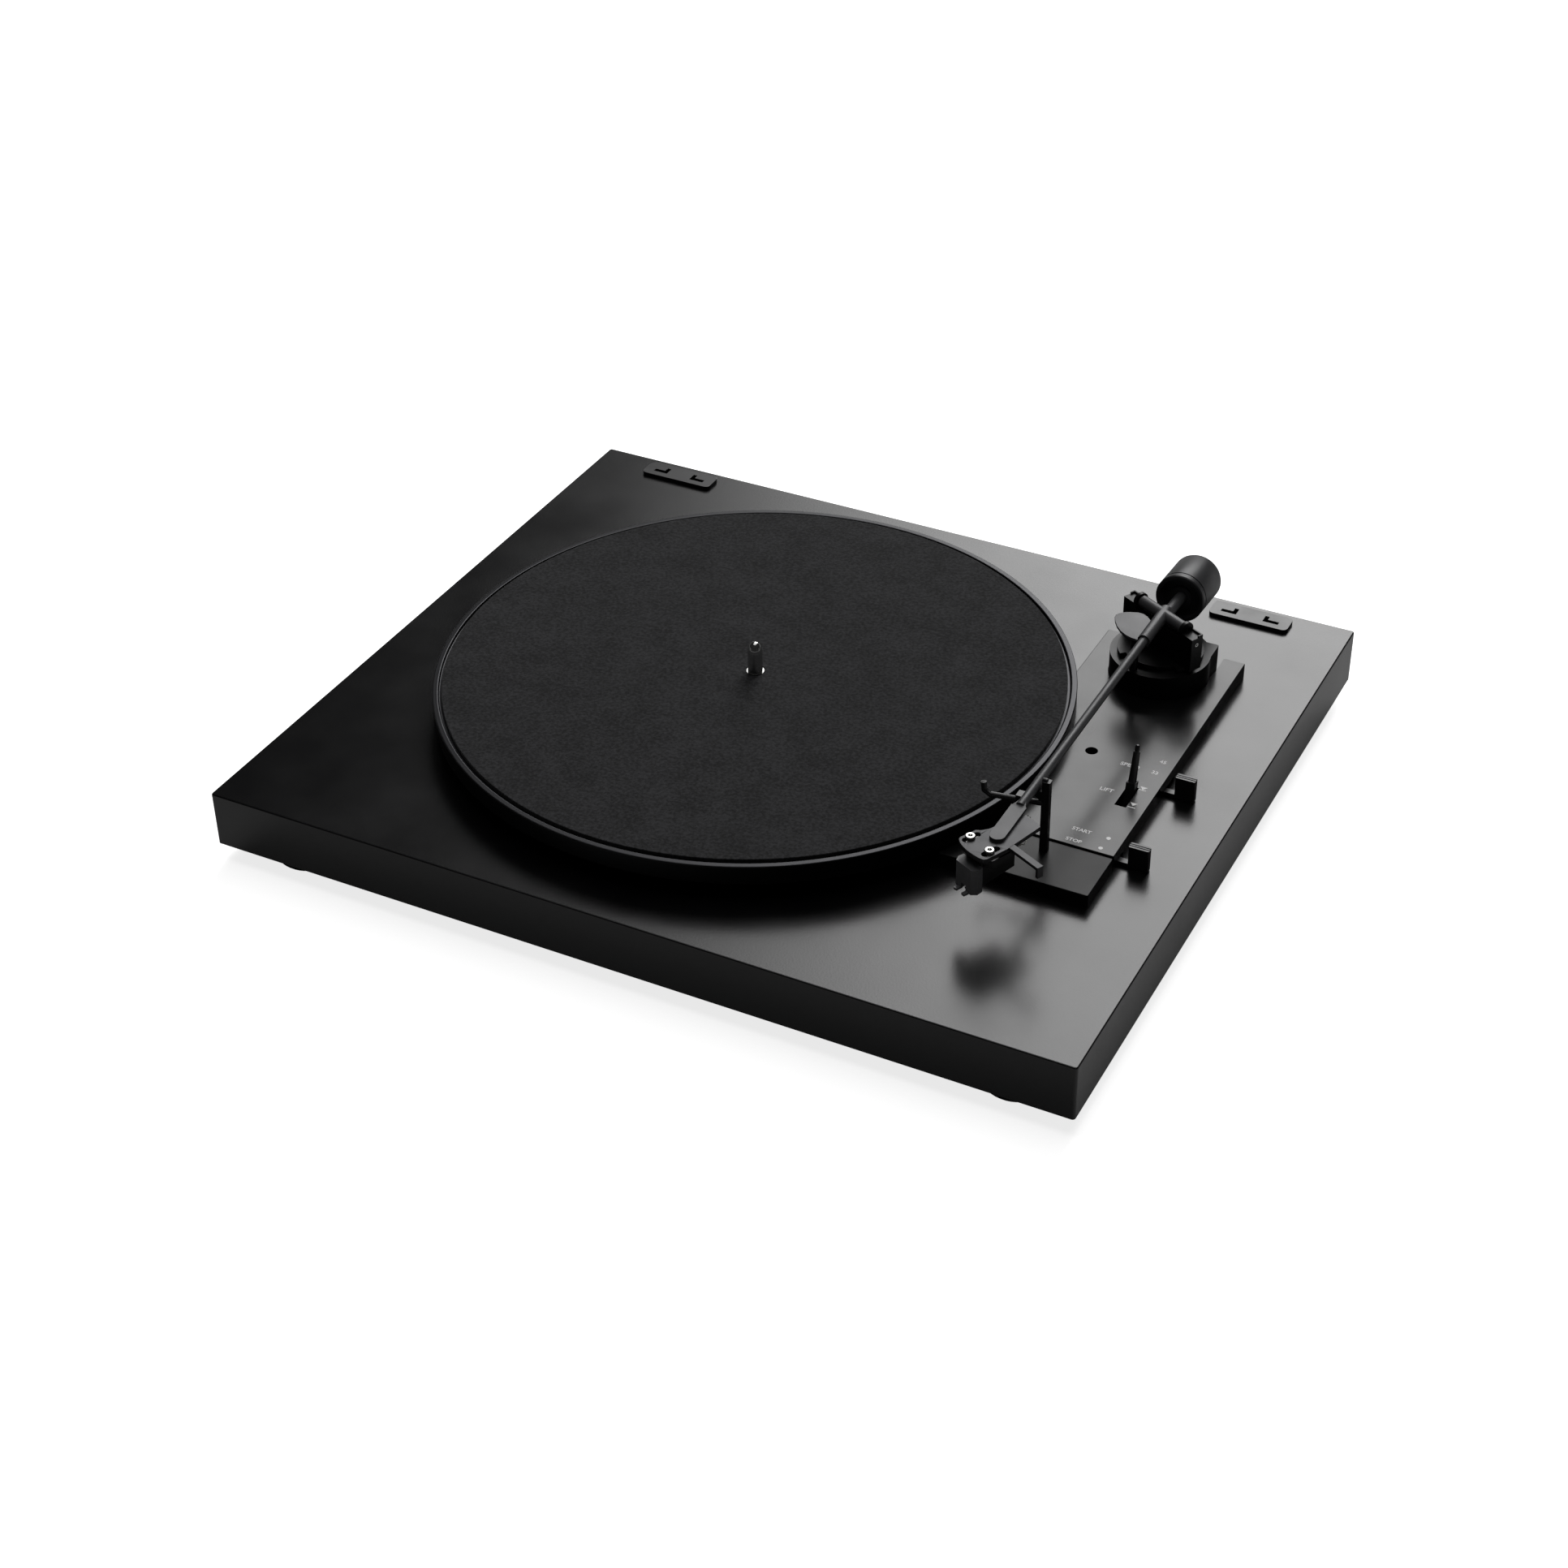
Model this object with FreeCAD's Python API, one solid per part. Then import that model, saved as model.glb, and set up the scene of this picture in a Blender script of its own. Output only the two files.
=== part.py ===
import FreeCAD, Part
import math
import os
from FreeCAD import Vector

# Automatic belt-drive record player, built as separate pieces in their working places.
# Frame: origin under the middle of the plinth on the table, +X right, +Y rear, +Z up, mm.
os.makedirs("parts", exist_ok=True)

# plinth and feet
PLINTH_W = 430.0
PLINTH_D = 365.0
PLINTH_H = 28.0
FOOT_H = 10.0
FOOT_R = 15.0
FOOT_X = 180.0
FOOT_FRONT_Y = -160.0
FOOT_REAR_Y = 152.0
SKIN = 8.0
COVER_T = 3.0
TOP = FOOT_H + PLINTH_H

# platter, mat and drive
SPIN_X = -24.0
SPIN_Y = -6.5
PLATTER_R = 153.5
PLATTER_WALL = 9.5
RIM_TOP = TOP + 18.5
MAT_SEAT = RIM_TOP - 1.5
PLATE_T = 3.0
MAT_R = 148.9
MAT_T = 2.2
SPINDLE_R = 3.57
HUB_SEAT_R = 4.3
SHAFT_R = 3.5
SPINDLE_TOP = MAT_SEAT + MAT_T + 16.0
SUB_R = 68.0
PULLEY_R = 6.0
MOTOR_X = -104.0
MOTOR_Y = 68.5
BELT_T = 0.7
RUN_GAP = 0.05

# control deck
DECK_X0 = 108.0
DECK_X1 = 179.2
DECK_Y0 = -54.2
DECK_Y1 = 118.3
DECK_H = 8.0
FRONT_Y0 = -84.5
FRONT_H = 7.2

# tonearm
PIVOT_X = 144.1
PIVOT_Y = 92.8
ARM_Z = TOP + 41.0
BASE_R = 24.3
BASE_TOP = TOP + 20.3
YOKE_ANGLE = -28.0
SLEEVE_R = 3.1
TUBE_R = 2.15
WEIGHT_R = 12.3
WEIGHT_L = 27.0
WEIGHT_START = 22.7
STUB_DROP = 2.4
STUB_TILT = 4.0
HEAD_X = 139.5
HEAD_Y = -111.1
HEAD_ANGLE = -26.3
HEAD_TOP = TOP + 40.2
HEAD_T = 2.2

# lift lever
LEVER_X = 167.6
LEVER_Y = -9.5
LEVER_Z = 23.0
LEVER_LEAN = 13.6


def box(x0, x1, y0, y1, z0, z1):
    return Part.makeBox(x1 - x0, y1 - y0, z1 - z0, Vector(x0, y0, z0))


def rod(x, y, z0, z1, r):
    return Part.makeCylinder(r, z1 - z0, Vector(x, y, z0))


def rod_between(a, b, r):
    run = Vector(*b).sub(Vector(*a))
    return Part.makeCylinder(r, run.Length, Vector(*a), run)


def ring(x, y, z0, z1, r_out, r_in):
    return rod(x, y, z0, z1, r_out).cut(rod(x, y, z0 - 1.0, z1 + 1.0, r_in))


def slab(points, z0, z1):
    corners = [Vector(p[0], p[1], z0) for p in points]
    wire = Part.makePolygon(corners + [corners[0]])
    return Part.Face(wire).extrude(Vector(0, 0, z1 - z0))


def turned(x, y, profile):
    corners = [Vector(x + r, y, z) for r, z in profile]
    face = Part.Face(Part.makePolygon(corners + [corners[0]]))
    return face.revolve(Vector(x, y, 0), Vector(0, 0, 1), 360)


def joined(shapes):
    whole = shapes[0].fuse(shapes[1:])
    return whole.removeSplitter()


def less(shape, tools):
    return shape.cut(tools)


def placed(shape, x, y, z, yaw):
    shape = shape.copy()
    shape.rotate(Vector(0, 0, 0), Vector(0, 0, 1), yaw)
    shape.translate(Vector(x, y, z))
    return shape


def edges_along(shape, axis, test):
    chosen = []
    for edge in shape.Edges:
        run = edge.Vertexes[-1].Point.sub(edge.Vertexes[0].Point)
        if run.Length > 0.01 and abs(abs(run.normalize().dot(axis)) - 1) < 0.001:
            if test(edge.CenterOfMass):
                chosen.append(edge)
    return chosen


def save(name, shape):
    shape.exportStep("parts/" + name + ".step")


# ---- plinth, cover and feet -------------------------------------------------

def bay(grow, z0, z1):
    wide = box(-195 - grow, 195 + grow, -132 - grow, 122 + grow, z0, z1)
    deep = box(-152 - grow, 152 + grow, -160 - grow, 160 + grow, z0, z1)
    return joined([wide, deep])


COVER_SCREWS = [(-199, -100), (199, -100), (-199, 90), (199, 90)]
COVER_SCREWS += [(-100, -164), (100, -164), (-20, 164), (100, 164)]
FEET = [(-FOOT_X, FOOT_FRONT_Y), (FOOT_X, FOOT_FRONT_Y)]
FEET += [(-FOOT_X, FOOT_REAR_Y), (FOOT_X, FOOT_REAR_Y)]
DECK_SCREWS = [(113.0, -47.0), (113.0, 64.0), (174.4, -36.0), (174.4, 64.0)]
FRONT_SCREWS = [(115.0, -70.0), (172.0, -70.0)]
BEARING_SCREWS = [(SPIN_X + 16 * math.cos(a), SPIN_Y + 16 * math.sin(a))
                  for a in (0.5, 0.5 + 2 * math.pi / 3, 0.5 + 4 * math.pi / 3)]
MOTOR_SCREWS = [(MOTOR_X + 23 * math.cos(a), MOTOR_Y + 23 * math.sin(a))
                for a in (0.3, 0.3 + 2 * math.pi / 3, 0.3 + 4 * math.pi / 3)]
SET_SCREW = (139.8, 17.0)
PLUNGER = (138.0, 72.5)
PANEL_X0 = -134.0
PANEL_X1 = -36.0


def hinge_pocket(side):
    x = sorted((side * 147.0, side * 181.4))
    return box(x[0], x[1], 167.0, 174.4, 24.0, TOP)


def plinth():
    body = box(-PLINTH_W / 2, PLINTH_W / 2, -PLINTH_D / 2, PLINTH_D / 2, FOOT_H, TOP)
    body = body.makeFillet(1.5, edges_along(body, Vector(0, 0, 1), lambda c: True))
    rim = [e for e in body.Edges if abs(e.CenterOfMass.z - TOP) < 0.01]
    body = body.makeFillet(0.8, rim)
    tools = [bay(0, FOOT_H - 1, TOP - SKIN), bay(8, FOOT_H - 1, FOOT_H + COVER_T)]
    tools.append(rod(SPIN_X, SPIN_Y, 20, TOP + 1, 7.0))
    tools.append(rod(MOTOR_X, MOTOR_Y, 20, TOP + 1, 13.0))
    tools.append(box(148.0, 170.5, -44.0, 60.0, 20, TOP + 1))
    tools.append(rod(PIVOT_X, PIVOT_Y, 20, TOP + 1, 10.0))
    tools.append(rod(PLUNGER[0], PLUNGER[1], 20, TOP + 1, 3.5))
    tools.append(rod(SET_SCREW[0], SET_SCREW[1], 28, TOP + 1, 2.0 + RUN_GAP))
    tools.append(rod(GEAR_X, GEAR_Y, 28, TOP + 1, 2.5))
    tools.append(follower_slot())
    for x, y in GUIDES:
        tools.append(rod(x, y, 28, 36, 2.0))
    for x, y in COVER_SCREWS:
        tools.append(rod(x, y, 12, 24, 1.5))
    for x, y in FEET:
        tools.append(rod(x, y, FOOT_H - 1, 22, 2.0))
    for x, y in DECK_SCREWS + FRONT_SCREWS:
        tools.append(rod(x, y, 20, 34.0, 3.4))
        tools.append(rod(x, y, 20, TOP + 1, 1.5))
    for x, y in BEARING_SCREWS + MOTOR_SCREWS + BRACKET_SCREWS:
        tools.append(rod(x, y, 28, 37, 1.5))
    tools.append(box(-130.0, -40.0, 155.0, 175.0, 14.6, 28.5))
    tools.append(box(PANEL_X0, PANEL_X1, 172.0, 190.0, 13.6, 30.4))
    tools.append(hinge_pocket(1))
    tools.append(hinge_pocket(-1))
    return less(body, tools)


def bottom_cover():
    plate = bay(7.8, FOOT_H, FOOT_H + COVER_T)
    holes = []
    for x, y in COVER_SCREWS:
        holes.append(rod(x, y, FOOT_H - 1, FOOT_H + 4, 1.5))
        holes.append(Part.makeCone(3.0, 1.5, 1.5, Vector(x, y, FOOT_H)))
    for row in range(8):
        y = 60.0 + 6.0 * row
        holes.append(box(-128.0, -80.0, y, y + 2.0, FOOT_H - 1, FOOT_H + 4))
    return less(plate, holes)


def cover_screws():
    screws = []
    for x, y in COVER_SCREWS:
        head = Part.makeCone(3.0, 1.5, 1.5, Vector(x, y, FOOT_H))
        cross = [box(x - 1.6, x + 1.6, y - 0.3, y + 0.3, FOOT_H - 1, FOOT_H + 0.9)]
        cross.append(box(x - 0.3, x + 0.3, y - 1.6, y + 1.6, FOOT_H - 1, FOOT_H + 0.9))
        screws.append(less(joined([head, rod(x, y, FOOT_H + 1.5, 23, 1.5)]), cross))
    return Part.makeCompound(screws)


def feet():
    rings = []
    for x, y in FEET:
        outline = [(2.0, 5.0), (5.0, 5.0), (5.0, 0.0), (13.6, 0.0), (FOOT_R, 1.4)]
        outline += [(FOOT_R, 7.6), (13.4, FOOT_H), (2.0, FOOT_H)]
        rings.append(turned(x, y, outline))
    return Part.makeCompound(rings)


def foot_screws():
    screws = []
    for x, y in FEET:
        head = turned(x, y, [(0, 2.6), (3.4, 2.6), (4.0, 3.4), (4.0, 5.0), (0, 5.0)])
        cross = [box(x - 2.2, x + 2.2, y - 0.4, y + 0.4, 2, 3.8)]
        cross.append(box(x - 0.4, x + 0.4, y - 2.2, y + 2.2, 2, 3.8))
        screws.append(less(joined([head, rod(x, y, 5, 22, 2.0)]), cross))
    return Part.makeCompound(screws)


def hinge_socket(side):
    flange = box(143.6, 184.8, 164.4, 176.9, TOP, TOP + 2.0)
    flange = flange.makeFillet(2.6, edges_along(flange, Vector(0, 0, 1), lambda c: True))
    body = box(147.0, 181.4, 167.0, 174.4, 24.0, TOP)
    slots = []
    for x, way in ((156.0, -1), (172.2, 1)):
        foot = sorted((x - way * 1.1, x + way * 7.0))
        slots.append(box(x - 1.1, x + 1.1, 168.0, 173.4, 26.0, TOP + 3))
        slots.append(box(foot[0], foot[1], 168.0, 170.4, 26.0, TOP + 3))
    shape = less(joined([flange, body]), slots)
    if side < 0:
        shape = shape.mirror(Vector(0, 0, 0), Vector(1, 0, 0))
    return shape


# ---- platter and its bearing ------------------------------------------------

def platter():
    z = MAT_SEAT
    low = RIM_TOP - PLATTER_WALL
    r = PLATTER_R
    outline = [(10.0, z - PLATE_T), (130, z - PLATE_T), (130, z - PLATE_T - 2)]
    outline += [(134, z - PLATE_T - 2), (134, z - PLATE_T), (r - 3.4, z - PLATE_T)]
    outline += [(r - 3.0, low), (r - 0.5, low), (r, low + 0.5), (r, RIM_TOP - 0.7)]
    outline += [(r - 0.2, RIM_TOP - 0.2), (r - 0.7, RIM_TOP), (r - 2.6, RIM_TOP)]
    outline += [(r - 3.0, RIM_TOP - 0.4), (r - 3.0, z), (10.0, z)]
    return turned(SPIN_X, SPIN_Y, outline)


def felt_mat():
    z = MAT_SEAT
    outline = [(4.7, z), (MAT_R, z), (MAT_R, z + MAT_T - 0.4), (MAT_R - 0.4, z + MAT_T)]
    outline += [(4.9, z + MAT_T), (4.7, z + MAT_T - 0.2)]
    return turned(SPIN_X, SPIN_Y, outline)


def subplatter():
    under = MAT_SEAT - PLATE_T
    outline = [(HUB_SEAT_R, 43.2), (11, 43.2), (11, under - 2), (SUB_R - 3.5, under - 2)]
    outline += [(SUB_R - 3.2, 43.5), (SUB_R, 43.5), (SUB_R, under), (9.95, under)]
    outline += [(9.95, under + 2.4), (9.5, under + 2.8), (HUB_SEAT_R, under + 2.8)]
    body = turned(SPIN_X, SPIN_Y, outline)
    ribs = []
    for i in range(8):
        rib = box(10.5, SUB_R - 3.3, -0.9, 0.9, 46.0, under - 1.9)
        ribs.append(placed(rib, SPIN_X, SPIN_Y, 0, 45.0 * i))
    holes = []
    for i in range(8):
        hole = rod(38, 0, under - 3, under + 1, 11)
        holes.append(placed(hole, SPIN_X, SPIN_Y, 0, 22.5 + 45.0 * i))
    return less(joined([body] + ribs), holes)


def spindle():
    top = SPINDLE_TOP
    outline = [(0, 17.5), (1.0, 17.6), (2.2, 18.2), (SHAFT_R, 20.0), (SHAFT_R, 43.2)]
    outline += [(HUB_SEAT_R, 43.2), (HUB_SEAT_R, MAT_SEAT + MAT_T), (SPINDLE_R, MAT_SEAT + MAT_T)]
    outline += [(SPINDLE_R, top - 5.5), (3.3, top - 3.6), (2.6, top - 1.7), (1.6, top - 0.5)]
    outline += [(0.7, top - 0.08), (0, top)]
    return turned(SPIN_X, SPIN_Y, outline)


def bearing_housing():
    outline = [(SHAFT_R + 0.03, 17.5), (SHAFT_R + 0.03, 39.0), (6.6, 39.0), (7.0, 38.6)]
    outline += [(7.0, 30.0), (22.0, 30.0), (22.0, 27.0), (9.0, 27.0), (7.0, 25.5)]
    outline += [(7.0, 16.2), (6.2, 15.4), (0, 15.4), (0, 17.5)]
    body = turned(SPIN_X, SPIN_Y, outline)
    return less(body, [rod(x, y, 26, 31, 1.5) for x, y in BEARING_SCREWS])


def pan_screw(x, y, under):
    head = turned(x, y, [(0, under - 2.0), (2.5, under - 2.0), (3.0, under - 1.5),
                         (3.0, under), (0, under)])
    cross = [box(x - 1.4, x + 1.4, y - 0.3, y + 0.3, under - 3, under - 1.0)]
    cross.append(box(x - 0.3, x + 0.3, y - 1.4, y + 1.4, under - 3, under - 1.0))
    return less(joined([head, rod(x, y, under, under + 8.0, 1.5)]), cross)


def chassis_screws():
    screws = [pan_screw(x, y, 27.0) for x, y in BEARING_SCREWS]
    screws += [pan_screw(x, y, 26.0) for x, y in MOTOR_SCREWS]
    screws += [pan_screw(x, y, 28.4) for x, y in BRACKET_SCREWS]
    screws += [pan_screw(x, y, 34.0) for x, y in DECK_SCREWS + FRONT_SCREWS]
    screws += [pan_screw(x, y, 15.2) for x, y in BOARD_POSTS]
    return Part.makeCompound(screws)


# ---- motor, pulley and belt -------------------------------------------------

def motor_can():
    outline = [(1.04, 16.0), (1.04, 26.0), (17.2, 26.0), (18.0, 25.2), (18.0, 15.4)]
    outline += [(17.0, 14.2), (4.0, 14.2), (4.0, 13.8), (0, 13.8), (0, 16.0)]
    return turned(MOTOR_X, MOTOR_Y, outline)


def motor_bracket():
    arms = [rod(MOTOR_X, MOTOR_Y, 26.0, 27.5, 16.0)]
    for x, y in MOTOR_SCREWS:
        arms.append(rod(x, y, 26.0, 27.5, 5.5))
        yaw = math.degrees(math.atan2(y - MOTOR_Y, x - MOTOR_X))
        arms.append(placed(box(0, 23, -5, 5, 26.0, 27.5), MOTOR_X, MOTOR_Y, 0, yaw))
    holes = [rod(MOTOR_X, MOTOR_Y, 25, 29, 3.0)]
    holes += [rod(x, y, 25, 29, 1.5) for x, y in MOTOR_SCREWS]
    return less(joined(arms), holes)


def motor_grommets():
    rings = [turned(x, y, [(1.5, 27.5), (4.2, 27.5), (3.4, 28.7), (4.2, 30.0), (1.5, 30.0)])
             for x, y in MOTOR_SCREWS]
    return Part.makeCompound(rings)


def motor_shaft():
    return turned(MOTOR_X, MOTOR_Y, [(0, 17.0), (1.0, 17.0), (1.0, 50.6), (0.8, 51.0), (0, 51.0)])


def motor_pulley():
    r = PULLEY_R
    outline = [(1.0, 42.5), (4.5, 42.5), (4.5, 43.6), (r + 1.3, 43.6), (r + 1.3, 44.2)]
    outline += [(r, 44.8), (r, 49.8), (r + 1.3, 50.4), (r + 1.3, 50.9), (1.0, 50.9)]
    return turned(MOTOR_X, MOTOR_Y, outline)


def loop_prism(grow, z0, z1):
    r1 = SUB_R + RUN_GAP + grow
    r2 = PULLEY_R + RUN_GAP + grow
    dx = MOTOR_X - SPIN_X
    dy = MOTOR_Y - SPIN_Y
    span = math.hypot(dx, dy)
    along = math.atan2(dy, dx)
    lean = math.acos((r1 - r2) / span)
    corners = []
    for cx, cy, r, turn in ((SPIN_X, SPIN_Y, r1, lean), (MOTOR_X, MOTOR_Y, r2, lean),
                            (MOTOR_X, MOTOR_Y, r2, -lean), (SPIN_X, SPIN_Y, r1, -lean)):
        corners.append((cx + r * math.cos(along + turn), cy + r * math.sin(along + turn)))
    parts = [rod(SPIN_X, SPIN_Y, z0, z1, r1), rod(MOTOR_X, MOTOR_Y, z0, z1, r2)]
    parts.append(slab(corners, z0, z1))
    return joined(parts)


def drive_belt():
    return loop_prism(BELT_T, 45.2, 49.4).cut(loop_prism(0.0, 44.0, 51.0))


# ---- automatic gear ---------------------------------------------------------

MODULE = 1.0
PINION_TEETH = 12
GEAR_TEETH = 86
GEAR_TURN = 20.0
GEAR_SPAN = MODULE * (PINION_TEETH + GEAR_TEETH) / 2 + 0.1
GEAR_X = SPIN_X + GEAR_SPAN * math.cos(math.radians(GEAR_TURN))
GEAR_Y = SPIN_Y + GEAR_SPAN * math.sin(math.radians(GEAR_TURN))
GEAR_Z0 = 39.8
GEAR_Z1 = 42.8
FOLLOW_R = 30.0
CAM_RATE = 0.125
ARM_RUN = math.hypot(PIVOT_X - GEAR_X, PIVOT_Y - GEAR_Y)
ARM_YAW = math.degrees(math.atan2(PIVOT_Y - GEAR_Y, PIVOT_X - GEAR_X))


def along_lever(s):
    a = math.radians(ARM_YAW)
    return (GEAR_X + s * math.cos(a), GEAR_Y + s * math.sin(a))


GUIDES = [along_lever(62.0), along_lever(104.0)]
BRACKET_SCREWS = [(180.0, -16.0), (180.0, -3.0)]
BOARD_POSTS = [(-124.0, 134.0), (-46.0, 134.0)]


def follower_slot():
    slot = joined([rod(0, 0, 28, TOP + 1, 2.3), rod(14, 0, 28, TOP + 1, 2.3),
                   box(0, 14, -2.3, 2.3, 28, TOP + 1)])
    x, y = along_lever(FOLLOW_R)
    return placed(slot, x, y, 0, ARM_YAW)


def toothed_outline(teeth, skip_at, skip_half):
    r = MODULE * teeth / 2
    points = []
    for i in range(teeth):
        mid = 360.0 * (i + 0.5) / teeth
        off = (mid - skip_at + 180) % 360 - 180
        marks = ((-0.5, -1.2), (-0.27, -1.2), (-0.13, 0.9), (0.13, 0.9), (0.27, -1.2))
        for part, height in marks:
            if skip_half and abs(off) < skip_half:
                height = -1.2
            a = math.radians(mid + part * 360.0 / teeth)
            points.append(((r + height) * math.cos(a), (r + height) * math.sin(a)))
    return points


def drive_pinion():
    body = slab(toothed_outline(PINION_TEETH, 0, 0), 39.4, 43.0)
    return placed(less(body, [rod(0, 0, 39, 44, SHAFT_R)]), SPIN_X, SPIN_Y, 0, 0)


def cam_gear():
    body = slab(toothed_outline(GEAR_TEETH, 180.0 + GEAR_TURN, 22.0), GEAR_Z0, GEAR_Z1)
    tools = [rod(0, 0, 38, 44, 2.53)]
    for i in range(5):
        hole = rod(14, 0, 38, 44, 5.0)
        hole.rotate(Vector(0, 0, 0), Vector(0, 0, 1), 72 * i + 20)
        tools.append(hole)
    inner = []
    outer = []
    for step in range(-12, 109):
        a = math.radians(ARM_YAW - 2.5 * step)
        r = FOLLOW_R + CAM_RATE * 2.5 * min(step, 40)
        inner.append(((r - 1.8) * math.cos(a), (r - 1.8) * math.sin(a)))
        outer.append(((r + 1.8) * math.cos(a), (r + 1.8) * math.sin(a)))
    tools.append(slab(inner + outer[::-1], GEAR_Z0 - 1, GEAR_Z0 + 1.6))
    return placed(less(body, tools), GEAR_X, GEAR_Y, 0, 0)


def chassis_pins():
    outline = [(0, 30.0), (2.5, 30.0), (2.5, 43.0), (3.3, 43.0), (3.3, 43.4), (0, 43.4)]
    pins = [turned(GEAR_X, GEAR_Y, outline)]
    for x, y in GUIDES:
        outline = [(0, 24.6), (4.4, 24.6), (4.4, 26.0), (2.5, 26.0), (2.5, 30.0)]
        outline += [(2.0, 30.0), (2.0, 36.0), (0, 36.0)]
        pins.append(turned(x, y, outline))
    return Part.makeCompound(pins)


def main_lever():
    bar = box(FOLLOW_R - 8, ARM_RUN - 20, -5, 5, 26.2, 28.2)
    pin = joined([rod(FOLLOW_R, 0, 28.2, 41.0, 1.7), rod(ARM_RUN - 24, 0, 22.6, 26.2, 1.5)])
    slots = []
    for s in (62.0, 104.0):
        slots.append(joined([rod(s, 0, 25, 29, 2.55), rod(s - 15, 0, 25, 29, 2.55),
                             box(s - 15, s, -2.55, 2.55, 25, 29)]))
    return placed(less(joined([bar, pin]), slots), GEAR_X, GEAR_Y, 0, ARM_YAW)


# ---- control deck -----------------------------------------------------------

def shell(x0, x1, y0, y1, z0, z1, wall, corner):
    outer = box(x0, x1, y0, y1, z0, z1)
    outer = outer.makeFillet(corner, edges_along(outer, Vector(0, 0, 1), lambda c: True))
    lid = [e for e in outer.Edges if abs(e.CenterOfMass.z - z1) < 0.01]
    outer = outer.makeFillet(0.4, lid)
    return outer.cut(box(x0 + wall, x1 - wall, y0 + wall, y1 - wall, z0 - 1, z1 - wall))


def pivot_footprint(grow, z0, z1):
    block = box(PIVOT_X - 23.6 - grow, PIVOT_X + 23.6 + grow, PIVOT_Y, 110.0 + grow, z0, z1)
    return joined([rod(PIVOT_X, PIVOT_Y, z0, z1, BASE_R + grow), block])


def deck_panel():
    z1 = TOP + DECK_H
    body = shell(DECK_X0, DECK_X1, DECK_Y0, DECK_Y1, TOP, z1, 1.5, 0.6)
    bosses = [rod(x, y, TOP, z1 - 1, 3.2) for x, y in DECK_SCREWS]
    tools = [rod(x, y, TOP - 1, TOP + 5, 1.5) for x, y in DECK_SCREWS]
    tools.append(rod(SET_SCREW[0], SET_SCREW[1], TOP, z1 + 1, 3.0))
    tools.append(box(164.9, 170.5, -17.8, -1.1, TOP, z1 + 1))
    tools.append(box(170.0, 190.0, -52.7, -42.4, TOP - 1, TOP + 2.9))
    tools.append(box(176.0, 190.0, 8.3, 21.6, TOP - 1, TOP + 2.9))
    tools.append(pivot_footprint(0.25, TOP - 1, z1 + 1))
    notch = box(PIVOT_X - 23.85, 168.4, 105.0, 125.0, TOP - 1, z1 + 1)
    tools.append(notch)
    return less(joined([body] + bosses), tools)


def arm_rest_base():
    z1 = TOP + FRONT_H
    body = shell(DECK_X0, DECK_X1, FRONT_Y0, DECK_Y0 - 0.5, TOP, z1, 2.0, 0.8)
    bosses = [rod(x, y, TOP, z1 - 1, 3.4) for x, y in FRONT_SCREWS]
    seat = box(144.0, 154.0, -67.0, -57.0, TOP, z1 - 1)
    tools = [rod(x, y, TOP - 1, TOP + 4.6, 1.5) for x, y in FRONT_SCREWS]
    tools.append(box(147.2, 151.0, -63.6, -60.4, TOP + 2, z1 + 1))
    return less(joined([body, seat] + bosses), tools)


def arm_rest():
    post = box(147.2, 151.0, -63.6, -60.4, TOP + 2, TOP + 44.6)
    post = post.makeFillet(0.5, edges_along(post, Vector(0, 0, 1), lambda c: True))
    crest = rod_between((147.2, -62.0, TOP + 44.6), (149.4, -62.0, TOP + 44.6), 1.2)
    shelf = box(141.6, 147.6, -63.2, -60.8, TOP + 37.2, TOP + 38.75)
    web = slab([(147.6, TOP + 37.4), (141.8, TOP + 37.4), (147.6, TOP + 33.0)], 0, 2.4)
    web.rotate(Vector(0, 0, 0), Vector(1, 0, 0), 90)
    web.translate(Vector(0, -60.8, 0))
    bar = rod_between((148.0, -62.4, TOP + 32.6), (134.5, -64.8, TOP + 32.6), 1.35)
    rail = rod_between((134.5, -64.8, TOP + 32.6), (124.4, -66.4, TOP + 32.6), 1.35)
    bend = rod_between((124.4, -66.4, TOP + 32.6), (121.6, -66.6, TOP + 34.4), 1.35)
    hook = rod_between((121.6, -66.6, TOP + 34.4), (121.0, -66.4, TOP + 38.4), 1.35)
    balls = [Part.makeSphere(1.35, Vector(*p)) for p in
             ((134.5, -64.8, TOP + 32.6), (124.4, -66.4, TOP + 32.6), (121.6, -66.6, TOP + 34.4))]
    jaw = box(136.2, 139.4, -66.0, -61.6, TOP + 32.0, TOP + 35.6)
    return joined([post, crest, shelf, web, bar, rail, bend, hook, jaw] + balls)


def set_screw():
    x, y = SET_SCREW
    outline = [(0, 31.0), (2.0, 31.0), (2.0, TOP + 0.1), (2.6, TOP + 0.1), (2.6, TOP + 3.6)]
    outline += [(2.2, TOP + 4.0), (0, TOP + 4.0)]
    slot = box(x - 3, x + 3, y - 0.4, y + 0.4, TOP + 3.0, TOP + 5)
    return less(turned(x, y, outline), [slot])


def paddle_knob(x0, x1, y0, y1):
    knob = box(x0, x1, y0, y1, TOP + 0.6, TOP + 12.0)
    knob = knob.makeFillet(0.7, edges_along(knob, Vector(0, 0, 1), lambda c: True))
    grooves = []
    step = (y1 - y0) / 3
    for i in (1, 2):
        y = y0 + step * i
        grooves.append(box(x0 - 1, x1 + 1, y - 0.3, y + 0.3, TOP + 11.4, TOP + 13))
    return less(knob, grooves)


def start_stop_lever():
    strip = box(150.0, 185.0, -49.3, -46.1, TOP + 0.6, TOP + 2.4)
    tail = box(150.0, 156.0, -49.3, -24.0, TOP + 0.6, TOP + 2.4)
    return joined([paddle_knob(184.0, 193.6, -49.6, -45.8), strip, tail])


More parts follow.
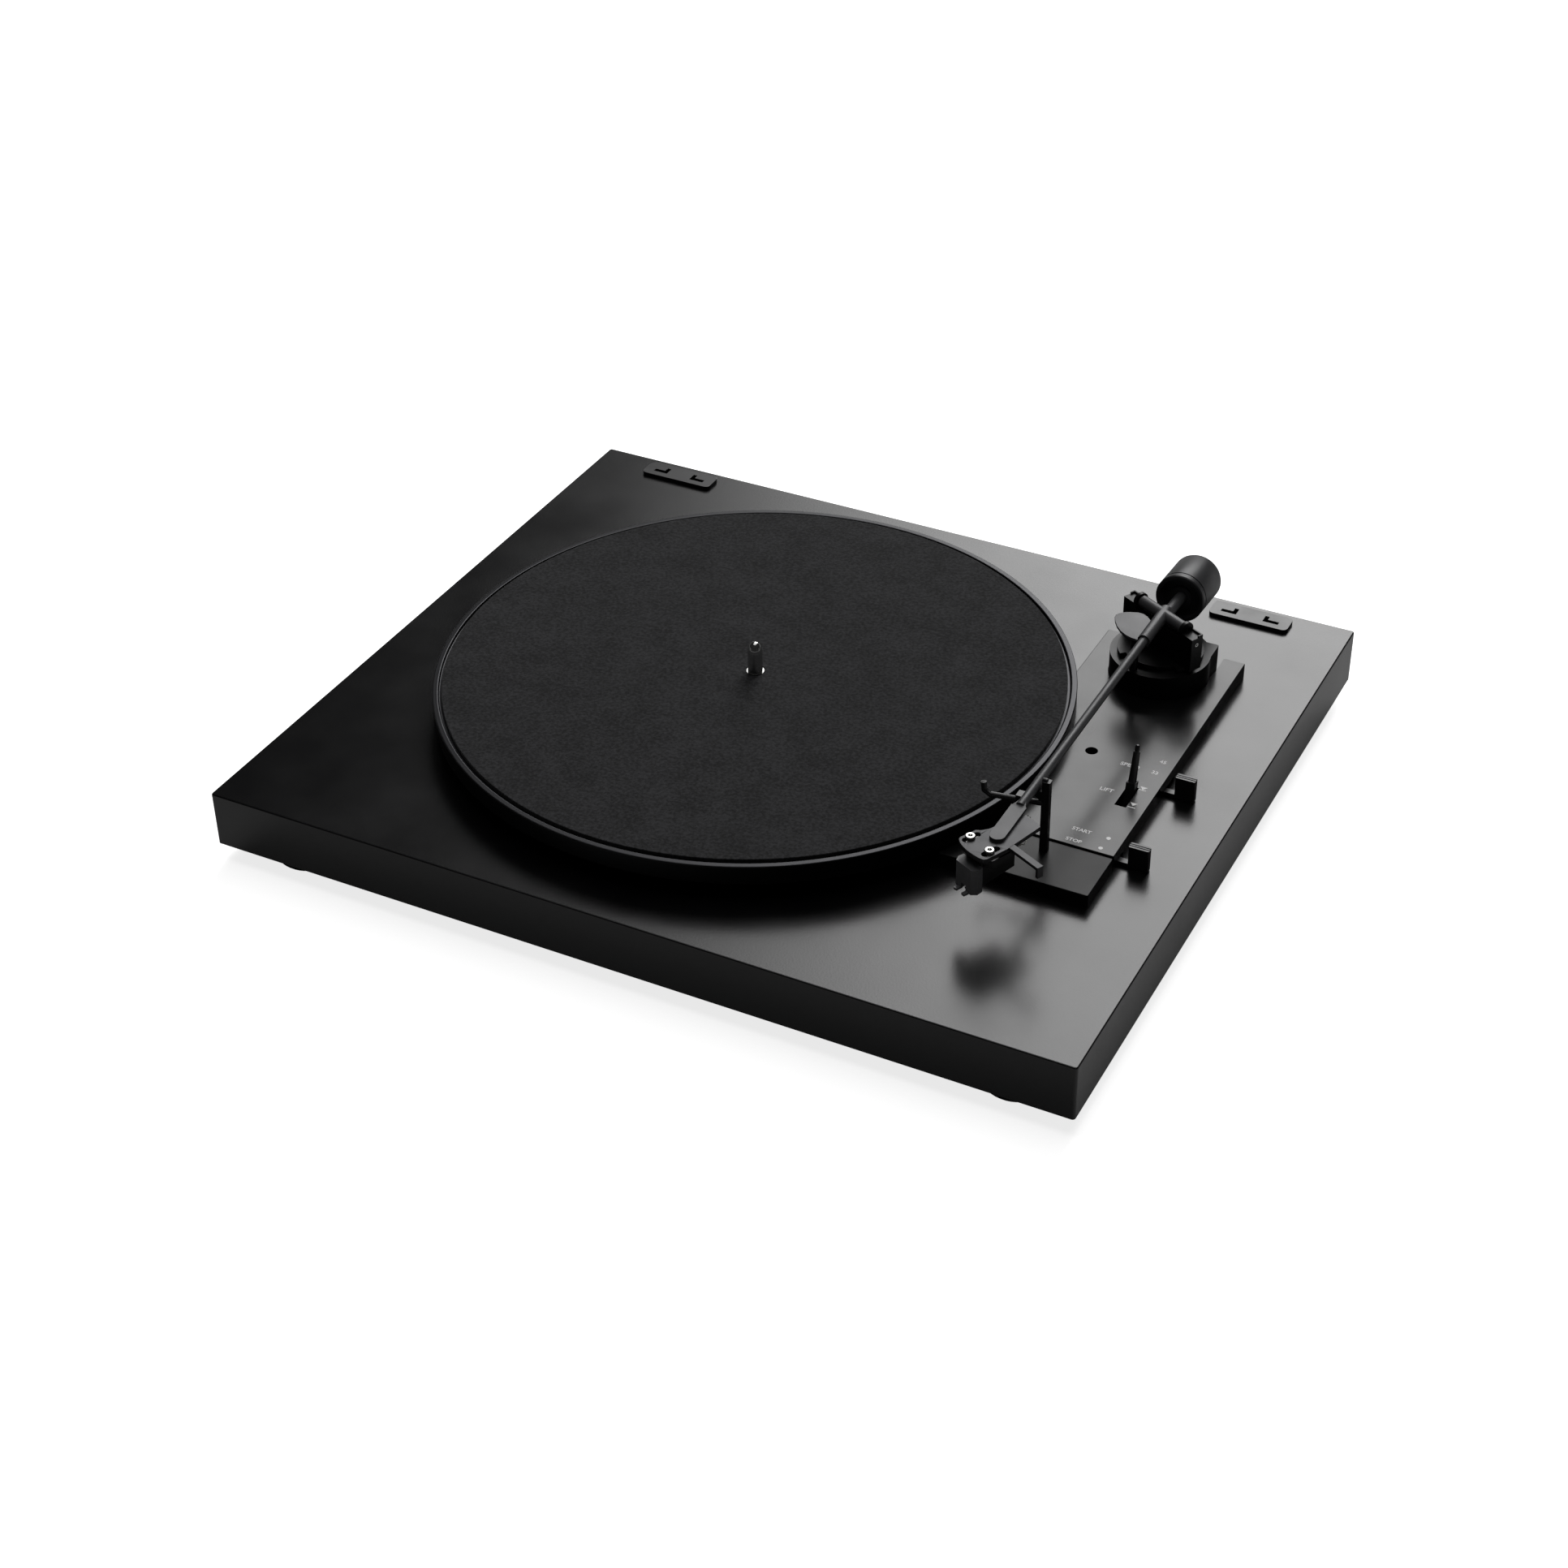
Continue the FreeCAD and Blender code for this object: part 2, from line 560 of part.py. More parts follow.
def start_stop_slide():
    plate = box(150.4, 155.6, -36.0, -25.0, 31.0, TOP + 0.6)
    bar = box(60.0, 155.6, -38.0, -32.0, 29.0 - 8.0, 23.0)
    riser = box(150.4, 155.6, -36.0, -32.5, 21.0, TOP + 0.6)
    return joined([plate, bar, riser])


def speed_lever():
    strip = box(150.0, 185.0, 8.8, 12.0, TOP + 0.6, TOP + 2.4)
    fork = box(150.0, 156.0, 5.0, 16.0, TOP + 0.6, TOP + 2.4)
    return joined([paddle_knob(184.0, 193.6, 8.6, 12.4), strip, fork])


def lift_bracket():
    plate = box(161.0, 186.0, -21.0, 2.0, 28.4, 30.0)
    ears = []
    for x0, x1 in ((162.4, 164.6), (170.6, 172.8)):
        ears.append(box(x0, x1, LEVER_Y - 5, LEVER_Y + 5, 19.6, 28.6))
    tools = [box(165.0, 170.3, -17.0, -2.0, 27, 31)]
    tools += [rod(x, y, 27, 31, 1.5) for x, y in BRACKET_SCREWS]
    sheet = less(joined([plate] + ears), tools)
    pin = rod_between((161.4, LEVER_Y, LEVER_Z), (173.6, LEVER_Y, LEVER_Z), 1.5)
    return joined([sheet, pin])


def lift_lever():
    hub = rod_between((-2.2, 0, 0), (2.2, 0, 0), 4.0)
    stem = box(-2.2, 2.2, -2.3, 2.3, 0, 27.8)
    crank = box(-2.2, 2.2, -2.0, 2.0, -9.2, 0)
    crank_pin = rod_between((-9.4, 0, -7.5), (-2.0, 0, -7.5), 1.2)
    shaft = Part.makeCone(1.9, 1.55, 15.4, Vector(0, 0, 27.6))
    tip = turned(0, 0, [(0, 42.6), (1.2, 42.6), (1.2, 45.2), (0.8, 46.0), (0, 46.2)])
    body = joined([hub, stem, crank, crank_pin, shaft, tip])
    body = body.cut(rod_between((-3, 0, 0), (3, 0, 0), 1.54))
    body.rotate(Vector(0, 0, 0), Vector(1, 0, 0), -LEVER_LEAN)
    body.translate(Vector(LEVER_X, LEVER_Y, LEVER_Z))
    return body


LINK_SLOPE = 0.425
LINK_Z = FOOT_H + COVER_T + 0.05


def lift_link():
    lean = math.radians(LEVER_LEAN)
    pin_y = LEVER_Y - 7.5 * math.sin(lean)
    boss = box(158.6, 161.6, pin_y - 4, pin_y + 4, LINK_Z, 20.0)
    bar = box(158.6, 161.6, pin_y, 68.0, LINK_Z, LINK_Z + 3)
    cross = box(135.4, 161.6, 63.0, 68.0, LINK_Z, LINK_Z + 3)
    x, y = PLUNGER
    side = [(63.0, LINK_Z), (77.0, LINK_Z), (77.0, 17.35 - LINK_SLOPE * (77.0 - y)),
            (66.0, 17.35 - LINK_SLOPE * (66.0 - y)), (63.0, 17.35 - LINK_SLOPE * (66.0 - y))]
    corners = [Vector(135.4, b, c) for b, c in side]
    wedge = Part.Face(Part.makePolygon(corners + [corners[0]])).extrude(Vector(5.2, 0, 0))
    slot = box(157, 163, pin_y - 1.26, pin_y + 1.26, 14.2, 17.6)
    return less(joined([boss, bar, cross, wedge]), [slot])


def lift_bar():
    x, y = PLUNGER
    stem = rod(x, y, 14.0, ARM_Z - SLEEVE_R - 1.6, 2.0)
    side = [(y - 5, 10.0), (y + 5, 10.0), (y + 5, 17.4 - 5 * LINK_SLOPE),
            (y - 5, 17.4 + 5 * LINK_SLOPE)]
    corners = [Vector(x - 5, b, c) for b, c in side]
    below = Part.Face(Part.makePolygon(corners + [corners[0]])).extrude(Vector(10, 0, 0))
    arc = ring(PIVOT_X, PIVOT_Y, ARM_Z - SLEEVE_R - 2.2, ARM_Z - SLEEVE_R - 0.5, 22.2, 20.2)
    wedge = []
    for deg in (-138, -112, -86):
        a = math.radians(deg)
        wedge.append((PIVOT_X + 40 * math.cos(a), PIVOT_Y + 40 * math.sin(a)))
    sector = slab([(PIVOT_X, PIVOT_Y)] + wedge, ARM_Z - 8, ARM_Z)
    return joined([stem.cut(below), arc.common(sector)])


# ---- tonearm bearing --------------------------------------------------------

def pivot_base():
    block = pivot_footprint(0.0, TOP, BASE_TOP)
    edge = edges_along(block, Vector(0, 0, 1), lambda c: c.y > 109)
    block = block.makeFillet(0.6, edge)
    boss = rod(PIVOT_X, PIVOT_Y, 24.0, TOP + 1, 10.0)
    tools = [rod(PIVOT_X, PIVOT_Y, 20, BASE_TOP + 1, 4.0)]
    tools.append(rod(PIVOT_X, PIVOT_Y, BASE_TOP - 5, BASE_TOP + 1, 6.5))
    tools.append(rod(PIVOT_X, PIVOT_Y, 20, 29.0, 6.5))
    tools.append(rod(PLUNGER[0], PLUNGER[1], TOP - 1, BASE_TOP + 1, 2.04))
    return less(joined([block, boss]), tools)


def pivot_bearings():
    races = []
    for z0 in (BASE_TOP - 5, 24.2):
        race = ring(PIVOT_X, PIVOT_Y, z0, z0 + 4.6, 6.5, 2.04)
        groove = ring(PIVOT_X, PIVOT_Y, z0 - 1, z0 + 0.5, 5.2, 3.4)
        lid = ring(PIVOT_X, PIVOT_Y, z0 + 4.1, z0 + 6, 5.2, 3.4)
        races.append(less(race, [groove, lid]))
    return Part.makeCompound(races)


def yoke_shaft():
    top = BASE_TOP + 0.3
    outline = [(0, 17.8), (1.7, 17.8), (2.0, 18.2), (2.0, top), (0, top)]
    return turned(PIVOT_X, PIVOT_Y, outline)


def gimbal_yoke():
    z0 = BASE_TOP + 0.3
    foot = z0 + 2.1
    seat = ARM_Z - 0.8
    r = BASE_R - 3.5
    arc = [math.radians(a) for a in range(-110, -10, 10)]
    relief = slab([(0, 0)] + [(40 * math.cos(a), 40 * math.sin(a)) for a in arc], z0 - 1, foot)
    disc = less(rod(0, 0, z0, foot, r), [less(relief, [rod(0, 0, z0 - 2, foot + 1, r - 3)])])
    parts = [disc, box(-24.6, 24.6, -3.4, 3.4, foot - 0.1, TOP + 34.5)]
    tools = []
    for side in (-1, 1):
        near, far = sorted((side * 15.8, side * 24.6))
        parts.append(box(near, far, -3.4, 3.4, foot, seat))
        near, far = sorted((side * 5.6, side * 16.0))
        parts.append(box(near, far, -3.4, 3.4, foot, TOP + 37.4))
        parts.append(rod_between((side * 15.4, 0, ARM_Z), (side * 17.2, 0, ARM_Z), 3.9))
        near, far = sorted((side * 17.0, side * 24.6))
        parts.append(box(near, far, 2.7, 3.4, seat - 1, seat + 1.0))
        near, far = sorted((side * 23.9, side * 24.6))
        parts.append(box(near, far, 0.6, 3.4, seat - 1, seat + 1.0))
        tools.append(rod_between((side * 14, 0, ARM_Z), (side * 18, 0, ARM_Z), 1.2))
        tools.append(rod_between((side * 21, 0, TOP + 36.4), (side * 25, 0, TOP + 36.4), 1.0))
    body = less(joined(parts), tools)
    return placed(body, PIVOT_X, PIVOT_Y, 0, YOKE_ANGLE)


def gimbal_screws():
    pins = []
    for side in (-1, 1):
        pin = rod_between((side * 13.2, 0, ARM_Z), (side * 17.0, 0, ARM_Z), 1.2)
        cone = Part.makeCone(0.2, 1.2, 1.4, Vector(side * 11.8, 0, ARM_Z), Vector(side, 0, 0))
        near, far = sorted((side * 16.4, side * 17.1))
        slot = box(near, far, -0.25, 0.25, ARM_Z - 2, ARM_Z + 2)
        pins.append(placed(joined([pin, cone]).cut(slot), PIVOT_X, PIVOT_Y, 0, YOKE_ANGLE))
    for side in (-1, 1):
        lock = rod_between((side * 21.2, 0, TOP + 36.4), (side * 24.5, 0, TOP + 36.4), 1.0)
        slot = rod_between((side * 23.6, 0, TOP + 36.4), (side * 25, 0, TOP + 36.4), 0.5)
        pins.append(placed(lock.cut(slot), PIVOT_X, PIVOT_Y, 0, YOKE_ANGLE))
    return Part.makeCompound(pins)


def arm_segment():
    hub = rod(0, 0, 18.8, 24.0 - 0.4, 4.6)
    sector = rod(0, 0, 18.8, 20.8, 17.0).common(box(-17, 17, -2, 17, 18, 24))
    body = less(joined([hub, sector]), [rod(0, 0, 17, 25, 2.0)])
    return placed(body, PIVOT_X, PIVOT_Y, 0, YOKE_ANGLE)


# ---- tonearm ----------------------------------------------------------------

def stub_point(s):
    a = math.radians(STUB_TILT)
    return (PIVOT_X, PIVOT_Y + s * math.cos(a), ARM_Z - STUB_DROP - s * math.sin(a))


def arm_sleeve():
    sleeve = rod_between((PIVOT_X, PIVOT_Y + 4, ARM_Z), (PIVOT_X, 67.0, ARM_Z), SLEEVE_R)
    cross = placed(rod_between((-14.7, 0, ARM_Z), (14.7, 0, ARM_Z), 3.0),
                   PIVOT_X, PIVOT_Y, 0, YOKE_ANGLE)
    knuckle = Part.makeSphere(3.9, Vector(PIVOT_X, PIVOT_Y, ARM_Z - 0.9))
    stub = rod_between(stub_point(0), stub_point(44.0), 2.8)
    tools = [rod_between((PIVOT_X, 80.0, ARM_Z), (PIVOT_X, 66.0, ARM_Z), TUBE_R)]
    tools.append(rod_between((PIVOT_X, 68.4, ARM_Z), (PIVOT_X, 66.0, ARM_Z), 2.6))
    for side in (-1, 1):
        cup = rod_between((side * 11.6, 0, ARM_Z), (side * 15, 0, ARM_Z), 1.25)
        tools.append(placed(cup, PIVOT_X, PIVOT_Y, 0, YOKE_ANGLE))
    return less(joined([sleeve, cross, knuckle, stub]), tools)


def arm_tube():
    paddle_z = HEAD_TOP
    tube = rod_between((PIVOT_X, 80.0, ARM_Z), (PIVOT_X, -80.0, ARM_Z), TUBE_R)
    flat = box(-3.5, 3.5, -23.0, 0, 0, 1.6)
    nose = rod(0, -23.0, 0, 1.6, 3.5)
    paddle = placed(joined([flat, nose]), PIVOT_X - 0.2, -80.6, paddle_z, 0)
    lower = Part.makePolygon([Vector(PIVOT_X - 3.5, -81.6, paddle_z),
                              Vector(PIVOT_X + 3.3, -81.6, paddle_z),
                              Vector(PIVOT_X + 3.3, -81.6, paddle_z + 1.6),
                              Vector(PIVOT_X - 3.5, -81.6, paddle_z + 1.6),
                              Vector(PIVOT_X - 3.5, -81.6, paddle_z)])
    square = Part.makePolygon([Vector(PIVOT_X - 1.5, -77.0, ARM_Z - 1.5),
                               Vector(PIVOT_X + 1.5, -77.0, ARM_Z - 1.5),
                               Vector(PIVOT_X + 1.5, -77.0, ARM_Z + 1.5),
                               Vector(PIVOT_X - 1.5, -77.0, ARM_Z + 1.5),
                               Vector(PIVOT_X - 1.5, -77.0, ARM_Z - 1.5)])
    neck = Part.makeLoft([lower, square], True, True)
    return joined([tube, paddle, neck])


def side_plate():
    outline = [(-3.6, -25.6), (-6.4, -25.2), (-9.4, -24.2), (-13.0, -21.9), (-16.2, -18.6)]
    outline += [(-18.8, -14.6), (-20.2, -11.4), (-20.4, -9.6), (-19.6, -7.4), (-17.8, -5.6)]
    outline += [(-15.0, -4.0), (-11.6, -2.8), (-8.6, -3.0), (-6.0, -4.6), (-3.6, -7.0)]
    outline += [(-1.0, -7.0), (-1.0, -25.6)]
    plate = slab(outline, ARM_Z - 1.6, ARM_Z - 0.4)
    plate.translate(Vector(PIVOT_X, PIVOT_Y, 0))
    sleeve = rod_between((PIVOT_X, PIVOT_Y + 4, ARM_Z), (PIVOT_X, 60.0, ARM_Z), SLEEVE_R)
    cross = placed(rod_between((-14.9, 0, ARM_Z), (14.7, 0, ARM_Z), 3.1),
                   PIVOT_X, PIVOT_Y, 0, YOKE_ANGLE)
    pieces = less(plate, [sleeve, cross]).Solids
    return max(pieces, key=lambda s: s.Volume)


def counterweight():
    r = WEIGHT_R
    n = WEIGHT_L
    outline = [(2.85, 2.0), (5.4, 2.0), (5.4, 3.4), (r - 2.2, 3.4), (r - 2.0, 0.0)]
    outline += [(r - 0.5, 0.0), (r, 0.5), (r, 3.4), (r - 0.6, 3.5), (r - 0.6, 4.1)]
    outline += [(r, 4.2), (r, n - 2.0), (r - 0.5, n - 0.8), (r - 1.8, n), (0, n), (0, n - 2.8)]
    outline += [(2.85, n - 2.8)]
    body = turned(0, 0, outline)
    body.rotate(Vector(0, 0, 0), Vector(1, 0, 0), -90 - STUB_TILT)
    body.translate(Vector(*stub_point(WEIGHT_START)))
    return body


# ---- headshell and cartridge ------------------------------------------------

def on_head(shape):
    # head drawings have x across to the right and y back along the headshell to the tonearm
    return placed(shape, HEAD_X, HEAD_Y, 0, HEAD_ANGLE)


def head_outline():
    points = [(-9.5, -3.6), (-8.9, -5.0), (-6.4, -6.4), (-3.2, -7.2), (0, -7.5), (3.2, -7.4)]
    points += [(6.6, -7.0), (8.9, -6.2), (9.6, -4.6), (9.4, 6.7), (6.0, 28.1), (4.6, 28.8)]
    points += [(-4.4, 28.8), (-5.4, 27.8), (-6.4, 10.0), (-7.8, 6.4), (-9.3, 5.0)]
    return points


def headshell():
    plate = slab(head_outline(), HEAD_TOP - HEAD_T, HEAD_TOP)
    tools = []
    for x in (-6.35, 6.35):
        slot = [rod(x, -3.2, 70, 85, 1.5), rod(x, 3.2, 70, 85, 1.5)]
        slot.append(box(x - 1.5, x + 1.5, -3.2, 3.2, 70, 85))
        tools.append(joined(slot))
    return on_head(less(plate, tools))


def finger_lift():
    z = HEAD_TOP - HEAD_T
    bar = box(4.0, 27.6, 8.0, 11.1, z + 0.6, HEAD_TOP)
    end = box(26.2, 27.6, 8.0, 11.1, z - 3.4, HEAD_TOP)
    plate = slab(head_outline(), z - 1, HEAD_TOP + 1)
    return on_head(less(joined([bar, end]), [plate]))


def headshell_screws():
    screws = []
    for x in (-6.35, 6.35):
        z = HEAD_TOP
        head = turned(x, -0.6, [(0, z), (2.3, z), (2.3, z + 1.0), (1.9, z + 1.4), (0, z + 1.4)])
        socket = rod(x, -0.6, z + 0.5, z + 2, 1.05)
        shank = rod(x, -0.6, z - HEAD_T - 5.6, z, 1.2)
        screws.append(on_head(less(joined([head, shank]), [socket])))
    return Part.makeCompound(screws)


def cartridge_body():
    z1 = HEAD_TOP - HEAD_T - 1.2
    flange = slab([(-8.9, -0.9), (-4.6, -2.9), (4.6, -2.9), (8.9, -0.9), (8.8, 9.4), (-8.8, 9.4)],
                  z1 - 4.6, z1)
    pad = box(-3.4, 3.4, -2.6, 8.4, z1, HEAD_TOP - HEAD_T)
    side = [(-3.8, TOP + 21.9), (15.0, TOP + 24.8), (15.0, z1), (-3.8, z1)]
    slope = [(-3.8, z1 - 4.8), (10.0, z1 - 2.4), (10.0, z1 - 6.0), (-3.8, z1 - 6.0)]
    prisms = []
    for x0, outline in ((-5.0, side), (-9.5, slope), (5.0, slope)):
        corners = [Vector(x0, y, z) for y, z in outline]
        face = Part.Face(Part.makePolygon(corners + [corners[0]]))
        prisms.append(face.extrude(Vector(10.0 if outline is side else 4.5, 0, 0)))
    pins = []
    for x in (-2.4, 2.4):
        for z in (z1 - 1.2, z1 - 4.0):
            pins.append(rod_between((x, 14.0, z), (x, 18.6, z), 0.55))
    tools = [rod(x, -0.6, 60, 85, 1.2) for x in (-6.35, 6.35)]
    body = joined([less(flange, prisms[1:]), pad, prisms[0]] + pins)
    return on_head(less(body, tools))


def stylus_holder():
    z0 = TOP + 20.2
    z1 = TOP + 33.2
    front = [(-6.4, -3.8), (-6.6, -6.8), (-5.0, -9.2), (4.9, -9.2), (6.7, -6.8), (6.2, -3.8)]
    body = slab(front, z0, z1)
    prongs = []
    for x in (-3.5, 1.65):
        prongs.append(box(x, x + 1.85, -11.6, -8.0, z0 - 0.5, z0 + 0.6))
    gap = box(-1.6, 1.6, -9.5, -3.0, z0 - 1.2, z0 + 3.0)
    return on_head(less(joined([body] + prongs), [gap]))


def stylus():
    z0 = TOP + 21.0
    lever = rod_between((0, -4.4, z0 + 1.6), (0, -8.2, z0 - 0.4), 0.35)
    tip = Part.makeCone(0.25, 0.08, 1.0, Vector(0, -7.8, z0 - 0.25), Vector(0, 0, -1))
    block = box(-1.5, 1.5, -4.9, -3.9, z0 + 0.8, z0 + 2.1)
    return on_head(joined([lever, tip, block]))


def cartridge_leads():
    z1 = HEAD_TOP - HEAD_T - 1.2
    wires = []
    for i, x in enumerate((-2.4, 2.4)):
        for j, z in enumerate((z1 - 1.2, z1 - 4.0)):
            sleeve = ring(0, 0, 0, 4.2, 0.95, 0.55)
            sleeve.rotate(Vector(0, 0, 0), Vector(1, 0, 0), -90)
            sleeve.translate(Vector(x, 15.7, z))
            start = Vector(x, 19.8, z)
            side = -7.4 + 1.5 * i
            curve = Part.BSplineCurve()
            curve.interpolate([start, Vector(0.6 * x - 0.4, 24.6, z - 1.0 - 1.2 * j),
                               Vector(side + 1.6, 28.6, z1 - 2.8 - 1.9 * j),
                               Vector(side, 33.0, z1 - 0.6 - 1.5 * j)])
            path = Part.Wire(curve.toShape())
            circle = Part.Wire(Part.makeCircle(0.32, start, Vector(0, 1, 0)))
            wire = path.makePipeShell([circle], True, True)
            cap = Part.makeCylinder(0.55, 0.5, Vector(x, 19.55, z), Vector(0, 1, 0))
            wires.append(on_head(joined([sleeve.cut(cap), cap, wire])))
    return Part.makeCompound(wires)


# ---- rear panel and electronics ---------------------------------------------

RCA_X = (-56.0, -72.0)
GROUND_X = -88.0
SWITCH_X = -104.0
INLET_X = -122.0
SOCKET_Z = 22.0


def rear_panel():
    plate = box(PANEL_X0 + 0.2, PANEL_X1 - 0.2, 172.0, 174.0, 13.8, 30.2)
    tools = []
    for x in RCA_X:
        tools.append(rod_between((x, 170, SOCKET_Z), (x, 176, SOCKET_Z), 5.0))
    tools.append(rod_between((GROUND_X, 170, SOCKET_Z), (GROUND_X, 176, SOCKET_Z), 2.0))
    tools.append(box(SWITCH_X - 4.5, SWITCH_X + 4.5, 170, 176, SOCKET_Z - 2, SOCKET_Z + 2))
    tools.append(rod_between((INLET_X, 170, SOCKET_Z), (INLET_X, 176, SOCKET_Z), 5.0))
    return less(plate, tools)


def rca_shells():
    shells = []
    for x in RCA_X:
        tube = rod_between((x, 166.0, SOCKET_Z), (x, 181.6, SOCKET_Z), 4.15)
        collar = rod_between((x, 170.6, SOCKET_Z), (x, 174.0, SOCKET_Z), 5.0)
        bore = rod_between((x, 165.0, SOCKET_Z), (x, 183.0, SOCKET_Z), 3.4)
        shells.append(joined([tube, collar]).cut(bore))
    return Part.makeCompound(shells)


def rca_inserts():
    inserts = []
    for x in RCA_X:
        body = rod_between((x, 160.0, SOCKET_Z), (x, 181.0, SOCKET_Z), 3.4)
        block = box(x - 5.0, x + 5.0, 158.0, 166.0, 16.8, 27.0)
        bore = rod_between((x, 167.0, SOCKET_Z), (x, 183.0, SOCKET_Z), 1.65)
        inserts.append(joined([body, block]).cut(bore))
    return Part.makeCompound(inserts)


def ground_stud():
    x = GROUND_X
    stud = rod_between((x, 166.0, SOCKET_Z), (x, 180.6, SOCKET_Z), 2.0)
    washer = rod_between((x, 174.0, SOCKET_Z), (x, 174.8, SOCKET_Z), 4.0)
    nut = rod_between((x, 169.6, SOCKET_Z), (x, 172.0, SOCKET_Z), 3.6)
    return joined([stud, washer, nut])


def ground_nut():
    x = GROUND_X
    nut = rod_between((x, 175.2, SOCKET_Z), (x, 179.6, SOCKET_Z), 4.6)
    tools = [rod_between((x, 174.0, SOCKET_Z), (x, 181.0, SOCKET_Z), 2.04)]
    for i in range(24):
        groove = box(-0.25, 0.25, 174.0, 181.0, 4.2, 6.0)
        groove.rotate(Vector(0, 0, 0), Vector(0, 1, 0), 15 * i)
        groove.translate(Vector(x, 0, SOCKET_Z))
        tools.append(groove)
    return less(nut, tools)


def line_switch():
    x = SWITCH_X
    body = box(x - 6.0, x + 6.0, 164.0, 171.9, 18.4, 25.6)
    cave = box(x - 4.3, x + 4.3, 168.0, 173.0, SOCKET_Z - 1.8, SOCKET_Z + 1.8)
    return body.cut(cave)


def line_switch_knob():
    x = SWITCH_X - 1.6
    knob = box(x - 2.4, x + 2.4, 168.3, 176.2, SOCKET_Z - 1.5, SOCKET_Z + 1.5)
    ribs = [box(x + s - 0.25, x + s + 0.25, 175.6, 177, SOCKET_Z - 2, SOCKET_Z + 2)
            for s in (-1.2, 0.0, 1.2)]
    return less(knob, ribs)


def dc_inlet():
    x = INLET_X
    body = box(x - 5.0, x + 5.0, 160.0, 171.9, 16.8, 27.2)
    nose = rod_between((x, 171.0, SOCKET_Z), (x, 175.4, SOCKET_Z), 5.0)
    bore = ring(0, 0, 0, 12.0, 2.8, 1.0)
    bore.rotate(Vector(0, 0, 0), Vector(1, 0, 0), -90)
    bore.translate(Vector(x, 165.0, SOCKET_Z))
    return joined([body, nose]).cut(bore)


def circuit_board():
    board = [box(-136.0, -34.0, 128.0, 157.0, 15.2, 16.8)]
    board.append(box(-129.0, -41.0, 150.0, 166.4, 15.2, 16.8))
    for x, y, r, h in ((-112, 146, 4.0, 8.0), (-100, 146, 4.0, 8.0), (-62, 142, 2.5, 6.0),
                       (-54, 142, 2.5, 6.0), (-54, 150, 2.5, 6.0)):
        board.append(rod(x, y, 16.8, 16.8 + h, r))
    for x, y, w, d in ((-84, 146, 10, 6), (-72, 150, 5, 4), (-124, 150, 7, 7)):
        board.append(box(x - w / 2, x + w / 2, y - d / 2, y + d / 2, 16.8, 18.6))
    posts = [rod(x, y, 16.8, 30.0, 3.0) for x, y in BOARD_POSTS]
    return less(joined(board + posts), [rod(x, y, 14, 24, 1.5) for x, y in BOARD_POSTS])


def build():
    save("plinth", plinth())
    save("bottom_cover", bottom_cover())
    save("cover_screws", cover_screws())
    save("feet", feet())
    save("foot_screws", foot_screws())
    save("hinge_socket_right", hinge_socket(1))
    save("hinge_socket_left", hinge_socket(-1))
    save("platter", platter())
    save("felt_mat", felt_mat())
    save("subplatter", subplatter())
    save("spindle", spindle())
    save("drive_pinion", drive_pinion())
    save("bearing_housing", bearing_housing())
    save("motor_can", motor_can())
    save("motor_bracket", motor_bracket())
    save("motor_grommets", motor_grommets())
    save("motor_shaft", motor_shaft())
    save("motor_pulley", motor_pulley())
    save("drive_belt", drive_belt())
    save("cam_gear", cam_gear())
    save("chassis_pins", chassis_pins())
    save("main_lever", main_lever())
    save("chassis_screws", chassis_screws())
    save("deck_panel", deck_panel())
    save("arm_rest_base", arm_rest_base())
    save("arm_rest", arm_rest())
    save("set_screw", set_screw())
    save("start_stop_lever", start_stop_lever())
    save("start_stop_slide", start_stop_slide())
    save("speed_lever", speed_lever())
    save("lift_bracket", lift_bracket())
    save("lift_lever", lift_lever())
    save("lift_link", lift_link())
    save("lift_bar", lift_bar())
    save("pivot_base", pivot_base())
    save("pivot_bearings", pivot_bearings())
    save("yoke_shaft", yoke_shaft())
    save("gimbal_yoke", gimbal_yoke())
    save("gimbal_screws", gimbal_screws())
    save("arm_segment", arm_segment())
    save("arm_sleeve", arm_sleeve())
    save("arm_tube", arm_tube())
    save("side_plate", side_plate())
    save("counterweight", counterweight())
    save("headshell", headshell())
    save("finger_lift", finger_lift())
    save("headshell_screws", headshell_screws())
    save("cartridge_body", cartridge_body())
    save("stylus_holder", stylus_holder())
    save("stylus", stylus())
    save("cartridge_leads", cartridge_leads())
    save("rear_panel", rear_panel())
    save("rca_shells", rca_shells())
    save("rca_inserts", rca_inserts())
    save("ground_stud", ground_stud())
    save("ground_nut", ground_nut())
    save("line_switch", line_switch())
    save("line_switch_knob", line_switch_knob())
    save("dc_inlet", dc_inlet())
    save("circuit_board", circuit_board())


build()
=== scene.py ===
import math

import bmesh
import bpy
import numpy as np
from mathutils import Matrix, Vector


